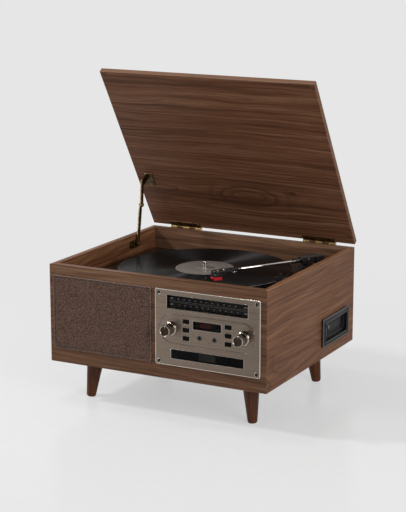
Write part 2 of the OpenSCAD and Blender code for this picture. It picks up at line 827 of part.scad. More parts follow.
module cue_lever() {
    color("#2a2a2b") translate([cue_x, cue_y, cue_z]) {
        rod_x(1.5, [-cue_half - cue_ear_t, cue_half + cue_ear_t], 0, 0);
        rod_x(4, [-cue_half, cue_half], 0, 0);
        rotate([-10, 0, 0]) {
            block([-cue_half, cue_half], [-cue_len, 0], [-1.5, 1.5]);
            rod_x(2.4, [-cue_half, cue_half], -cue_len, 0);
        }
    }
}

module arm_rest() {
    at = arm_pos + arm_rest_dist * [cos(arm_angle + arm_swing_out), sin(arm_angle + arm_swing_out)];
    color("#2a2a2b") translate([at[0], at[1], 0]) {
        rod_z(7, [deck_z, deck_z + 2], 0, 0);
        rod_z(3, [deck_z, arm_z - 8], 0, 0);
        rotate([0, 0, arm_angle + arm_swing_out]) {
            block([-3, 3], [-5, 7.5], [arm_z - 8 - eps, arm_z - arm_tube_r - rest]);
            block([-3, 3], [arm_tube_r + 0.5, 7.5], [arm_z - 8, arm_z + 3]);
        }
    }
}

module tonearm_yoke() {
    low = arm_base_top - arm_z + rest;
    ear_in = arm_block_half + rest;
    color(black) on_arm() {
        rod_z(bush_shaft_r, [deck_z - 13 - arm_z, low + 1], 0, 0);
        block([-10, 10], [-ear_in - arm_ear_t, ear_in + arm_ear_t], [low, low + 2.4]);
        for (s = [-1, 1]) {
            y = s > 0 ? ear_in : -ear_in - arm_ear_t;
            block([-5, 5], [y, y + arm_ear_t], [low, 0]);
            rod_y(5, [y, y + arm_ear_t], 0, 0);
        }
        rod_y(arm_pin_r, [-ear_in - 1, ear_in + 1], 0, 0);
    }
}

module tonearm_tube() {
    color(chrome) on_arm() difference() {
        rod_x(arm_tube_r, [9, arm_shell_from + 6], 0, 0);
        rod_x(arm_tube_r - 0.8, [8, arm_shell_from + 7], 0, 0);
    }
}

module tonearm_counterweight() {
    color(black) on_arm() difference() {
        union() {
            block([-12, 12], [-arm_block_half, arm_block_half], [-6, 5]);
            block([-arm_tail, -12 + eps], [-11, 11], [-6.5, 5.5]);
        }
        rod_y(arm_pin_r + run, [-12, 12], 0, 0);
        rod_x(arm_tube_r, [9, 13], 0, 0);
    }
}

stylus_gap = 0.5;
lift_from = 149;
lift_w = 6;
head_low = platter_z + 8 - arm_z;
head_under = -2.5;

module headshell() {
    neck = arm_shell_from + 6;
    color(black) on_arm() {
        difference() {
            union() {
                translate([0, 0, head_under]) linear_extrude(2 - head_under) polygon([
                    [neck, -4], [neck + 11, -arm_shell_half], [arm_len - 1, -arm_shell_half],
                    [arm_len + 1, -arm_shell_half + 2], [arm_len + 1, arm_shell_half - 2],
                    [arm_len - 1, arm_shell_half], [neck + 11, arm_shell_half], [neck, 4]
                ]);
                block([arm_shell_from, neck + 1], [-4, 4], [-4, 2]);
            }
            rod_x(arm_tube_r, [arm_shell_from - 1, neck], 0, 0);
        }
        block([arm_len - 23, arm_len + 2], [-6.2, 6.2], [head_low, head_under + eps]);
    }
    color(chrome) on_arm() {
        block([lift_from, lift_from + lift_w], [arm_shell_half - 0.5, arm_shell_half + 7], [head_under + 0.3, head_under + 1.3]);
        rod_x(1.2, [lift_from, lift_from + lift_w], arm_shell_half + 7, head_under + 1.3);
    }
}

module stylus() {
    low = platter_z + 1.6 - arm_z;
    color("#b3242c") on_arm() {
        block([arm_len - 14, arm_len + 3], [-4.5, 4.5], [low, head_low]);
        translate([arm_len, 0, platter_z + stylus_gap - arm_z]) cylinder(r1 = 0.3, r2 = 0.9, h = low - (platter_z + stylus_gap - arm_z) + eps);
    }
}

module speed_selector() {
    color("#2a2a2b") translate([speed_pos[0], speed_pos[1], 0]) {
        block([-3.5, 3.5], [-5, 5], [deck_z + rest, deck_z + 5]);
        block([-1.2, 1.2], [-2, 2], [deck_z - 8, deck_z + 1]);
    }
}

// Hinges: knuckles 1, 3 and 5 belong to the cabinet's leaf and carry the pin, 2 and 4 to the lid's
knuckle_w = hinge_w / knuckles;
hinge_x = [hinge_inset, cab_w - hinge_inset - hinge_w];

module knuckle_run(i, shrink) {
    rod_x(knuckle_r, [i * knuckle_w + shrink, (i + 1) * knuckle_w - shrink], pin_y, pin_z);
}

module hinge_fixed_leaves() {
    color(brass) for (x = hinge_x) translate([x, 0, 0]) {
        block([0, hinge_w], [cab_d, cab_d + leaf_t], [cab_h - leaf_back, cab_h - 3]);
        for (i = [0 : 2 : knuckles - 1]) {
            knuckle_run(i, 0.15);
            block([i * knuckle_w + 0.15, (i + 1) * knuckle_w - 0.15], [cab_d, cab_d + leaf_t],
                [cab_h - 4, pin_z]);
        }
        rod_x(hinge_pin_r, [0.5, hinge_w - 0.5], pin_y, pin_z);
    }
}

module hinge_lid_leaves() {
    color(brass) on_lid() for (x = hinge_x) translate([x, 0, 0]) difference() {
        union() {
            block([0, hinge_w], [cab_d - leaf_d, cab_d - 0.5], [lid_z - leaf_t, lid_z]);
            for (i = [1 : 2 : knuckles - 1]) {
                knuckle_run(i, 0.15);
                block([i * knuckle_w + 0.15, (i + 1) * knuckle_w - 0.15], [cab_d - 1, pin_y],
                    [lid_z - leaf_t, lid_z]);
            }
        }
        rod_x(hinge_pin_r + run, [-1, hinge_w + 1], pin_y, pin_z);
    }
}

module lid_panel() {
    color(walnut) on_lid() block([0, cab_w], [0, cab_d], [lid_z, lid_z + lid_t]);
}

module lid_bumpers() {
    inset = 6;
    color(black) on_lid()
        for (x = [inset, cab_w - inset], y = [inset, cab_d - inset - 14])
            rod_z(3.5, [cab_h + 0.5, lid_z], x, y);
}

// Stay brackets carry a pin each. The lid's ear stands beside the arms.
ear_x = stay_x + 2 * stay_t + 0.8;

module stay_lid_bracket() {
    p = stay_shut;
    color(brass) on_lid() {
        block([ear_x, ear_x + 15], [p[0] - 10, p[0] + 17], [lid_z - 1.5, lid_z]);
        block([ear_x, ear_x + 2], [p[0] - 6, p[0] + 6], [p[1], lid_z]);
        rod_x(6, [ear_x, ear_x + 2], p[0], p[1]);
        rod_x(stay_pin_r, [stay_x + stay_t, ear_x + 1], p[0], p[1]);
        rod_x(3.4, [stay_x + stay_t - 1, stay_x + stay_t + 0.1], p[0], p[1]);
    }
}

module stay_wall_bracket() {
    p = stay_low;
    color(brass) {
        plate_x(p[0] - 24, p[1] - 7, 31, 14, 5, [side_t, side_t + 2]);
        rod_x(stay_pin_r, [side_t + 1, stay_x + stay_t + 1], p[0], p[1]);
        rod_x(3.4, [stay_x + stay_t + 0.1, stay_x + stay_t + 1.1], p[0], p[1]);
        rod_x(2.4, [side_t + 1, stay_x - 0.4], p[0] - 18, p[1]);
    }
}

// A flat arm between two points of the side plane, with round ends and a hole at the first
module stay_arm(x, from, to) {
    length = norm(to - from);
    angle = atan2(to[1] - from[1], to[0] - from[0]);
    translate([x, from[0], from[1]]) rotate([angle, 0, 0]) difference() {
        union() {
            block([0, stay_t], [0, length], [-stay_w / 2, stay_w / 2]);
            rod_x(stay_w / 2, [0, stay_t], 0, 0);
            rod_x(stay_w / 2, [0, stay_t], length, 0);
        }
        rod_x(stay_pin_r + run, [-1, stay_t + 1], 0, 0);
    }
}

module stay_lower_arm() {
    color(brass) {
        stay_arm(stay_x, stay_low, stay_knee);
        rod_x(3.6, [stay_x - 1, stay_x + eps], stay_knee[0], stay_knee[1]);
    }
}

module stay_upper_arm() {
    color(brass) {
        stay_arm(stay_x + stay_t + 0.4, stay_up, stay_knee);
        rod_x(3.6, [stay_x + 2 * stay_t + 0.4 - eps, stay_x + 2 * stay_t + 1.4], stay_knee[0], stay_knee[1]);
    }
}

// Cassette unit in the right side
module cassette_frame() {
    tub = [[cas_tub_y, cas_tub_y + cas_tub_w], [cas_tub_z, cas_tub_z + cas_tub_h]];
    color("#26272a") difference() {
        union() {
            plate_x(cas_y, cas_z, cas_w, cas_h, 2.5, [cab_w, cab_w + cas_out]);
            block([cas_back_x, cab_w + 1], [tub[0][0] - cas_wall, tub[0][1] + cas_wall],
                [tub[1][0] - cas_wall, tub[1][1] + cas_wall]);
        }
        block([cas_back_x + cas_wall, cab_w + cas_out + 1], tub[0], tub[1]);
        block([cas_back_x - 1, cab_w], [flap_y - 0.5, flap_y + flap_w + 0.5],
            [flap_low - 0.5, flap_high + 1.2]);
        rod_y(flap_pin_r + run, [flap_y - 1.6, flap_y + flap_w + 1.6], cas_back_x + 1, flap_high);
        rod_x(cas_button_r + rest, [cas_back_x - 1, cab_w], cas_button_y, cas_button_z);
    }
}

module cassette_flap() {
    x = cas_back_x + 1;
    color("#2c2d30") {
        block([x - flap_t / 2, x + flap_t / 2], [flap_y, flap_y + flap_w], [flap_low, flap_high]);
        rod_y(flap_t / 2, [flap_y, flap_y + flap_w], x, flap_high);
        rod_y(flap_pin_r, [flap_y - 1.2, flap_y + flap_w + 1.2], x, flap_high);
    }
}

module cassette_button() {
    color("#3a3b3e") {
        rod_x(cas_button_r, [cas_back_x - 2, cas_back_x + 7], cas_button_y, cas_button_z);
    }
}

module cassette_mechanism() {
    x1 = cas_back_x;
    x0 = x1 - mech_len;
    eject_x = x1 - 2 - cas_button_travel - rest;
    y = [flap_y - 1, flap_y + flap_w + 1];
    z = [flap_low - 0.5, flap_high + 2];
    color("#8f9093") difference() {
        union() {
            block([x0, x1], [y[0] - mech_wall, y[1] + mech_wall], [z[0] - mech_wall, z[1] + mech_wall]);
            block([x0 + 10, x0 + 60], [y[0] + 6, y[1] - 6], [z[1], z[1] + 10]);
            block([eject_x - 2, eject_x], [cas_button_y - 3, y[0]], [cas_button_z - 3, cas_button_z + 3]);
        }
        block([x0 + mech_wall, x1 + 1], y, z);
    }
    color("#c8c8c8")
        for (s = [-1, 1])
            rod_z(4, [z[0], z[0] + 3], x0 + 40, (y[0] + y[1]) / 2 + s * 21.3);
}

// Inside the box
module main_board() {
    y0 = 92;
    board_z = bottom_t + 6;
    color(green) block([40, 205], [y0, y0 + 100], [board_z, board_z + board_t]);
    color("#9a9a9a") {
        for (x = [46, 199], y = [y0 + 6, y0 + 94])
            rod_z(3, [bottom_t, board_z], x, y);
        block([60, 130], [y0 + 70, y0 + 90], [board_z + board_t, board_z + 30]);
    }
    color("#202a44")
        for (i = [0 : 3])
            rod_z(6, [board_z + board_t, board_z + 24], 150 + 14 * i, y0 + 72);
    color(black)
        for (i = [0 : 2])
            block([60 + 40 * i, 78 + 40 * i], [y0 + 22, y0 + 40], [board_z + board_t, board_z + 5]);
}

module power_supply() {
    color("#7c7f84") block([40, 96], [236, 292], [bottom_t, bottom_t + 3]);
    color("#4a4d52") block([46, 90], [244, 284], [bottom_t + 3, bottom_t + 43]);
    color("#c08a3a") block([52, 84], [238, 290], [bottom_t + 10, bottom_t + 36]);
}

shell_r = 4.15;
shell_len = 7.5;
terminal_t = 2;

module rear_terminal_plate() {
    color(black) difference() {
        union() {
            plate_y(socket_x[0] - 20, socket_z - 20, gland_x - socket_x[0] + 40, 40, 3, [cab_d, cab_d + terminal_t]);
            for (x = socket_x) {
                rod_y(shell_r, [cab_d, cab_d + terminal_t + shell_len], x, socket_z);
                rod_y(terminal_hole_r - 1, [cab_d - 8, cab_d + 1], x, socket_z);
            }
            rod_y(terminal_hole_r - 0.4, [cab_d - front_t - 2, cab_d + terminal_t + 5], gland_x, socket_z);
        }
        for (x = socket_x)
            rod_y(1.6, [cab_d - 2, cab_d + 20], x, socket_z);
        rod_y(gland_bore_r, [0, cab_d + 20], gland_x, socket_z);
    }
}

in_frame() left_side_panel();
in_frame() right_side_panel();
in_frame() front_board();
in_frame() back_panel();
in_frame() bottom_panel();
in_frame() deck_cleats();
in_frame() legs();
in_frame() leg_plates();
in_frame() grille_frame();
in_frame() grille_cloth();
in_frame() speaker_drivers();
in_frame() control_faceplate();
in_frame() faceplate_screws();
in_frame() fascia_windows();
in_frame() dial_scale();
in_frame() jack_sockets();
in_frame() control_board();
in_frame() cd_mechanism();
in_frame() deck_plate();
in_frame() bearing_bush();
in_frame() motor();
in_frame() drive_belt();
in_frame() tonearm_base();
in_frame() arm_rest();
in_frame() hinge_fixed_leaves();
in_frame() stay_wall_bracket();
in_frame() cassette_frame();
in_frame() cassette_mechanism();
in_frame() main_board();
in_frame() power_supply();
in_frame() rear_terminal_plate();
in_frame() lid_panel();
in_frame() hinge_lid_leaves();
in_frame() lid_bumpers();
in_frame() stay_lid_bracket();
in_frame() stay_upper_arm();
in_frame() stay_lower_arm();
in_frame() platter();
in_frame() centre_pad();
in_frame() spindle();
in_frame() motor_pulley();
in_frame() tonearm_yoke();
in_frame() tonearm_tube();
in_frame() tonearm_counterweight();
in_frame() headshell();
in_frame() stylus();
in_frame() cue_lever();
in_frame() speed_selector();
in_frame() volume_knob();
in_frame() tuning_knob();
in_frame() dial_pointer();
in_frame() function_button(-1, 0);  // function_button_1
in_frame() function_button(-1, 1);  // function_button_2
in_frame() function_button(-1, 2);  // function_button_3
in_frame() function_button(1, 0);  // function_button_4
in_frame() function_button(1, 1);  // function_button_5
in_frame() function_button(1, 2);  // function_button_6
in_frame() cd_tray();
in_frame() cassette_flap();
in_frame() cassette_button();
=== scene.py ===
"""Finishes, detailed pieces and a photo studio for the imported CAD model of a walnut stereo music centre."""

import json
import math

import bmesh
import bpy
from bpy.props import FloatProperty, FloatVectorProperty, PointerProperty, StringProperty
from bpy.types import Operator, Panel, PropertyGroup
from mathutils import Matrix, Vector


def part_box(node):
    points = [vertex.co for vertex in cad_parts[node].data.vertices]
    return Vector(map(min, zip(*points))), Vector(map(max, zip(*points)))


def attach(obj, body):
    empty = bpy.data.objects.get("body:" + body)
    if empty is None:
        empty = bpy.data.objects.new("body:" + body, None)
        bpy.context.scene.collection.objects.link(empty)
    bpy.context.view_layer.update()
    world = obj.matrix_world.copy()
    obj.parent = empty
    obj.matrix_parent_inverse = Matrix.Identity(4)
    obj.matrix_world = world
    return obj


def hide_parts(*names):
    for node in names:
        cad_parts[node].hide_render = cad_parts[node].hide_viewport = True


bl_info = {
    "name": "Stereo Music Centre",
    "version": (1, 0, 0),
    "blender": (4, 5, 0),
    "location": "View3D > Sidebar > Music Centre",
    "description": "Builds the finishes, detailed pieces and studio of a walnut stereo music centre",
    "category": "Object",
}

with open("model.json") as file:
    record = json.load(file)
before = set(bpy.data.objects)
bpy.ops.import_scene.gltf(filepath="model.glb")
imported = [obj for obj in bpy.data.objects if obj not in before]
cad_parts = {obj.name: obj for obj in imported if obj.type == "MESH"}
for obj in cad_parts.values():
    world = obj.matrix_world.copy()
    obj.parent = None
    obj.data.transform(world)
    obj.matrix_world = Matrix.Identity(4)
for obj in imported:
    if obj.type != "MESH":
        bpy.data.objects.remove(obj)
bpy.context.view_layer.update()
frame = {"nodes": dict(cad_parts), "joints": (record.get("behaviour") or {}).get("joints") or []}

# Every drawing below is in millimetres from the cabinet's lower left front corner
MM = 0.001
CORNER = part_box("front_board")[0]


def placed(point):
    """A point of the frame as it stands in the drawings."""
    return (Vector(point) - CORNER) / MM


def drawn_box(node):
    """The lowest and highest corner of a node in the drawings."""
    return [placed(corner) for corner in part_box(node)]


def joint(name):
    """A joint of the frame."""
    return next(item for item in frame["joints"] if item["name"] == name)


CABINET_WIDTH = drawn_box("right_side_panel")[1].x
CABINET_DEPTH = drawn_box("right_side_panel")[1].y
LID_OPEN = math.radians(joint("lid_hinge")["range_deg"][1])
HINGE = placed(joint("lid_hinge")["pos_m"])
ARM_PIVOT = placed(joint("arm_lift")["pos_m"])
ARM_TURN = math.radians(-122)
PLATTER = placed(joint("platter_spin")["pos_m"])
PLATTER_CENTRE = CORNER + Vector((PLATTER.x, PLATTER.y, 0)) * MM
DECK_TOP = drawn_box("deck_plate")[1].z
PLATTER_TOP = drawn_box("platter")[1].z
PANEL_LEFT, PANEL_RIGHT = (corner.x for corner in drawn_box("control_faceplate"))
PANEL_MIDDLE = (PANEL_LEFT + PANEL_RIGHT) / 2
PANEL_LOW = drawn_box("control_faceplate")[0].z
STAY_LOW = placed(joint("stay_lower_pivot")["pos_m"])
STAY_KNEE = (279.771, 219.147)

# Places on the control panel, from its middle and lower edge.
# A window is (x, y, width, height, corner radius).
DIAL_WINDOW = (0, 106.25, 145, 22.5, 1.0)
DISPLAY_WINDOW = (0, 72.5, 50.8, 14, 1.0)
TRAY_WINDOW = (0, 20.2, 130.5, 15.8, 0.8)
BUTTON_X = (-37.7, 37.7)
BUTTON_Y = (76.6, 62.5, 48.7)
KNOB_X = 65
KNOB_Y = 62.5
SOCKET_X = (-13.4, 13.4)
SOCKET_Y = 52.4

# Places of the cassette slot on the right side: (y, z), and (y, z, width, height)
EJECT = (240, 51)
SURROUND = (267.75, 45, 109.5, 49)
TUB = (271, 44, 90, 32)
TUB_BACK = -3.0
FLAP_HOLE = (280.5, 43.95, 66, 22.1)


def facing(right, up, out, spot=(0, 0, 0)):
    """Turns a drawing in millimetres (right, up, out) to its place on the cabinet."""
    turn = Matrix([right, up, out]).transposed().to_4x4()
    return Matrix.Translation(CORNER) @ Matrix.Scale(MM, 4) @ Matrix.Translation(spot) @ turn


def facing_front(x, depth, z):
    """Turns a drawing to the front, with its origin at a place on the cabinet."""
    return facing((1, 0, 0), (0, 0, 1), (0, -1, 0), (x, depth, z))


FRONT = facing_front(0, 0, 0)
PANEL = facing_front(PANEL_MIDDLE, 0, PANEL_LOW)
SIDE = facing((0, 1, 0), (0, 0, 1), (1, 0, 0), (CABINET_WIDTH, 0, 0))
BACK = facing((-1, 0, 0), (0, 0, 1), (0, 1, 0), (0, CABINET_DEPTH, 0))
TOP = facing((1, 0, 0), (0, 1, 0), (0, 0, 1))
ARM_ALONG = (math.cos(ARM_TURN), math.sin(ARM_TURN), 0)
ARM_SIDE = (-math.sin(ARM_TURN), math.cos(ARM_TURN), 0)
ARM = facing(ARM_ALONG, ARM_SIDE, (0, 0, 1), ARM_PIVOT)
ARM_AXIS = facing(ARM_SIDE, (0, 0, 1), ARM_ALONG, ARM_PIVOT)
HINGE_PIN = Matrix.Translation((0, HINGE.y, HINGE.z))
LID = (
    Matrix.Translation(CORNER) @ Matrix.Scale(MM, 4)
    @ HINGE_PIN @ Matrix.Rotation(-LID_OPEN, 4, "X") @ HINGE_PIN.inverted()
)


# Drawings


def rounded(x, y, width, height, radius, steps=6):
    """Outline of a rounded rectangle about its middle."""
    points = []
    for sx, sy, start in ((1, 1, 0), (-1, 1, 90), (-1, -1, 180), (1, -1, 270)):
        for i in range(steps + 1):
            a = math.radians(start + 90 * i / steps)
            points.append((
                x + sx * (width / 2 - radius) + radius * math.cos(a),
                y + sy * (height / 2 - radius) + radius * math.sin(a),
            ))
    return points


def ring(x, y, radius, count=48):
    """Outline of a circle."""
    return [
        (x + radius * math.cos(2 * math.pi * i / count), y + radius * math.sin(2 * math.pi * i / count))
        for i in range(count)
    ]


def taken(curve):
    """Mesh data of a curve or text, which is then removed."""
    holder = bpy.data.objects.new("drawing", curve)
    bpy.context.scene.collection.objects.link(holder)
    graph = bpy.context.evaluated_depsgraph_get()
    mesh = bpy.data.meshes.new_from_object(holder.evaluated_get(graph))
    shape = ([tuple(v.co) for v in mesh.vertices], [tuple(p.vertices) for p in mesh.polygons])
    bpy.data.objects.remove(holder)
    bpy.data.curves.remove(curve)
    bpy.data.meshes.remove(mesh)
    return shape


def plate(outline, holes=(), thickness=1.0, edge=0.2, front=0.0):
    """A plate with rounded edges whose face stands at `front`, with the holes cut through it."""
    curve = bpy.data.curves.new("plate", "CURVE")
    curve.dimensions = "2D"
    curve.fill_mode = "BOTH"
    for points in (outline, *holes):
        spline = curve.splines.new("POLY")
        spline.points.add(len(points) - 1)
        for point, (x, y) in zip(spline.points, points):
            point.co = (x, y, 0, 1)
        spline.use_cyclic_u = True
    curve.bevel_depth = edge
    curve.bevel_resolution = 2
    curve.extrude = thickness / 2 - edge
    curve.offset = -edge
    verts, faces = taken(curve)
    return [(x, y, z + front - thickness / 2) for x, y, z in verts], faces


PRINT_THICKNESS = 0.03


def lettering(words, size, x, y, out):
    """Printed words, numbers or signs about a place on a face."""
    text = bpy.data.curves.new("text", "FONT")
    text.body = words
    text.size = size
    text.align_x = "CENTER"
    text.align_y = "CENTER"
    text.extrude = PRINT_THICKNESS / 2
    verts, faces = taken(text)
    return [(a + x, b + y, c + out) for a, b, c in verts], faces


def lathe(profile, segments=64, spot=(0, 0, 0)):
    """A turned solid from (radius, height) points; a radius of 0 closes it."""
    verts, rows, faces = [], [], []
    for radius, height in profile:
        if radius < 1e-9:
            rows.append([len(verts)])
            verts.append((spot[0], spot[1], spot[2] + height))
            continue
        rows.append(list(range(len(verts), len(verts) + segments)))
        for i in range(segments):
            a = 2 * math.pi * i / segments
            verts.append((spot[0] + radius * math.cos(a), spot[1] + radius * math.sin(a), spot[2] + height))
    for low, high in zip(rows, rows[1:]):
        for i in range(segments):
            j = (i + 1) % segments
            if len(low) == 1 and len(high) == 1:
                break
            if len(low) == 1:
                faces.append((low[0], high[j], high[i]))
            elif len(high) == 1:
                faces.append((low[i], low[j], high[0]))
            else:
                faces.append((low[i], low[j], high[j], high[i]))
    return verts, faces


def oval(width, height, radius):
    """Outline of the panel's long oval."""
    return rounded(0, KNOB_Y, width, height, radius, 24)


def mirrored(half):
    """Outline of a flat shape that is the same on both sides of its length, from its upper half."""
    return [(x, -y) for x, y in half] + half[::-1]


def slab(low, high, edge=0.3):
    """A block with rounded edges."""
    work = bmesh.new()
    bmesh.ops.create_cube(work, size=1)
    for vert in work.verts:
        vert.co = [a + (b - a) * (c + 0.5) for a, b, c in zip(low, high, vert.co)]
    bmesh.ops.bevel(work, geom=work.edges[:], offset=edge, segments=2, profile=0.5, affect="EDGES")
    work.verts.index_update()
    shape = ([tuple(v.co) for v in work.verts], [tuple(v.index for v in f.verts) for f in work.faces])
    work.free()
    return shape


def prism(outline, low, high, edge=0.3):
    """An upright block over an outline, with rounded edges."""
    return plate(outline, (), high - low, edge, high)


def bars(pairs, low, high):
    """Thin flat bars, each from one (x, y) corner to the other, such as ticks and lines."""
    verts, faces = [], []
    for (x0, y0), (x1, y1) in pairs:
        start = len(verts)
        verts += [(x, y, z) for z in (low, high) for x, y in ((x0, y0), (x1, y0), (x1, y1), (x0, y1))]
        faces += [
            tuple(start + i for i in f)
            for f in ((3, 2, 1, 0), (4, 5, 6, 7), (0, 1, 5, 4), (1, 2, 6, 5), (2, 3, 7, 6), (3, 0, 4, 7))
        ]
    return verts, faces


def shifted(shape, x=0, y=0, z=0):
    """The same shape moved in its own drawing."""
    return [(a + x, b + y, c + z) for a, b, c in shape[0]], shape[1]


def screw_head(x, y, radius, height, spot=0.0):
    """A domed head with a cross recess, standing on `spot`."""
    dome = [(1, 0), (0.98, 0.45), (0.8, 0.8), (0.5, 1), (0, 1)]
    dome = [(radius * out, height * up) for out, up in dome]
    arm, half = radius * 0.62, radius * 0.13
    cross = bars([((-arm, -half), (arm, half)), ((-half, -arm), (half, arm))], height * 0.9, height * 1.04)
    return [(0, shifted(lathe(dome, 20), x, y, spot)), (1, shifted(cross, x, y, spot))]


def screws(matrix, places, radius, height, spot=0.0):
    """Shapes of several equal screw heads: the head has finish 0 and its recess finish 1."""
    return [
        (kind, matrix, shape) for x, y in places
        for kind, shape in screw_head(x, y, radius, height, spot)
    ]


def framed(window, outer, inner, thickness, edge, front):
    """A frame about a window; `outer` and `inner` are (growth of its width and height, corner radius)."""
    x, y, width, height = window[:4]
    outline, hole = (rounded(x, y, width + grow, height + grow, radius) for grow, radius in (outer, inner))
    return plate(outline, [hole], thickness, edge, front)


def piece(name, body, finishes, shapes, stands_for=(), smooth=32):
    """Joins drawings into one object that rides on a body. Each shape is (finish number, matrix, drawing)."""
    verts, faces, kinds = [], [], []
    for kind, matrix, (points, polygons) in shapes:
        start = len(verts)
        verts += [matrix @ Vector(point) for point in points]
        faces += [[start + i for i in polygon] for polygon in polygons]
        kinds += [kind] * len(polygons)
    mesh = bpy.data.meshes.new(name)
    mesh.from_pydata(verts, [], faces)
    for finish in finishes:
        mesh.materials.append(finish)
    mesh.polygons.foreach_set("material_index", kinds)
    mesh.polygons.foreach_set("use_smooth", [True] * len(faces))
    mesh.set_sharp_from_angle(angle=math.radians(smooth))
    thing = bpy.data.objects.new(name, mesh)
    bpy.context.scene.collection.objects.link(thing)
    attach(thing, body)
    if stands_for:
        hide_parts(*stands_for)
    return thing


def dress(nodes, finish, edge=None, radius=0.4):
    """Gives CAD nodes their finish and rounds their sharp edges, which may have a finish of their own."""
    for name in nodes.split():
        thing = frame["nodes"][name]
        for place in thing.material_slots:
            place.material = finish
        if not thing.material_slots:
            thing.data.materials.append(finish)
        if not radius:
            continue
        weld = thing.modifiers.new("Join edges", "WELD")
        weld.merge_threshold = 2e-6
        flat = thing.modifiers.new("Join flat faces", "DECIMATE")
        flat.decimate_type = "DISSOLVE"
        flat.angle_limit = math.radians(0.6)
        bevel = thing.modifiers.new("Rounded edges", "BEVEL")
        bevel.width = radius * MM
        bevel.segments = 2
        bevel.limit_method = "ANGLE"
        bevel.angle_limit = math.radians(35)
        bevel.use_clamp_overlap = True
        if edge:
            thing.data.materials.append(edge)
            bevel.material = len(thing.data.materials) - 1
        even = thing.modifiers.new("Even shading", "WEIGHTED_NORMAL")
        even.keep_sharp = True


# Finishes


def tone(red, green, blue):
    """A colour written as 0 to 255, as Blender's linear values."""
    def line(value):
        value /= 255
        return value / 12.92 if value <= 0.04045 else ((value + 0.055) / 1.055) ** 2.4
    return (line(red), line(green), line(blue), 1.0)


def dimmed(colour, share, lift=0.0):
    """A linear colour made darker or paler by a share."""
    return tuple(channel * share + lift for channel in colour[:3]) + (1,)


class Wiring:
    """Adds nodes to one tree and joins them."""

    def __init__(self, tree):
        self.tree = tree

    def add(self, kind, values=None, **settings):
        node = self.tree.nodes.new(kind)
        for name, value in settings.items():
            setattr(node, name, value)
        for name, value in (values or {}).items():
            if isinstance(value, bpy.types.NodeSocket):
                self.tree.links.new(value, node.inputs[name])
            elif value is not None:
                node.inputs[name].default_value = value
        return node

    def math(self, operation, *values, clamp=False):
        node = self.add("ShaderNodeMath", dict(enumerate(values)), operation=operation, use_clamp=clamp)
        return node.outputs[0]

    def vector(self, operation, *values):
        node = self.add("ShaderNodeVectorMath", dict(enumerate(values)), operation=operation)
        return node.outputs["Value" if operation in ("LENGTH", "DISTANCE", "DOT_PRODUCT") else "Vector"]

    def times(self, first, second):
        return self.math("MULTIPLY", first, second)

    def plus(self, first, second):
        return self.math("ADD", first, second)

    def minus(self, first, second):
        return self.math("SUBTRACT", first, second)

    def parts(self, vector):
        return self.add("ShaderNodeSeparateXYZ", {0: vector}).outputs

    def joined(self, x=None, y=None, z=None):
        """A vector from up to three numbers."""
        return self.add("ShaderNodeCombineXYZ", {0: x, 1: y, 2: z}).outputs[0]

    def noise(self, vector, detail=2.0, roughness=0.5, scale=1.0):
        node = self.add("ShaderNodeTexNoise", {
            "Vector": vector, "Scale": scale, "Detail": detail, "Roughness": roughness,
        })
        return node.outputs["Fac"]

    def drawn_out(self, vector, stretch, detail=2.0, roughness=0.5):
        """Noise that is finer along some axes than along others."""
        return self.noise(self.vector("MULTIPLY", vector, stretch), detail, roughness)

    def mix(self, factor, first, second):
        values = {0: factor, 6: first, 7: second}
        return self.add("ShaderNodeMix", values, data_type="RGBA", blend_type="MIX").outputs[2]

    def about(self, value, middle, spread):
        """A roughness that wavers about its middle."""
        return self.span(value, 0.3, 0.7, middle - spread, middle + spread)

    def span(self, value, low, high, to_low=0.0, to_high=1.0):
        node = self.add("ShaderNodeMapRange", {
            "Value": value, "From Min": low, "From Max": high, "To Min": to_low, "To Max": to_high,
        })
        return node.outputs["Result"]

    def place(self, group, values):
        return self.add("ShaderNodeGroup", values, node_tree=group).outputs

    def coordinates(self):
        return self.add("ShaderNodeTexCoord").outputs["Object"]

    def ordered(self, vector, order):
        """Swaps the axes so that x runs along the grain."""
        parts = self.parts(vector)
        return self.joined(*(parts[axis.upper()] for axis in order))

    def relief(self, height, strength, depth):
        node = self.add("ShaderNodeBump", {"Strength": strength, "Distance": depth * MM, "Height": height})
        return node.outputs["Normal"]


COLOUR, NUMBER, VECTOR = "NodeSocketColor", "NodeSocketFloat", "NodeSocketVector"


def effect(name, inputs, outputs, build):
    """A shader node group with named inputs and outputs, built once."""
    tree = bpy.data.node_groups.get(name)
    if tree:
        return tree
    tree = bpy.data.node_groups.new(name, "ShaderNodeTree")
    for label, kind, value in inputs:
        socket = tree.interface.new_socket(label, in_out="INPUT", socket_type=kind)
        if value is not None:
            socket.default_value = value
    for label, kind in outputs:
        tree.interface.new_socket(label, in_out="OUTPUT", socket_type=kind)
    wires = Wiring(tree)
    start, end = tree.nodes.new("NodeGroupInput"), tree.nodes.new("NodeGroupOutput")
    for label, socket in build(wires, start.outputs).items():
        tree.links.new(socket, end.inputs[label])
    return tree


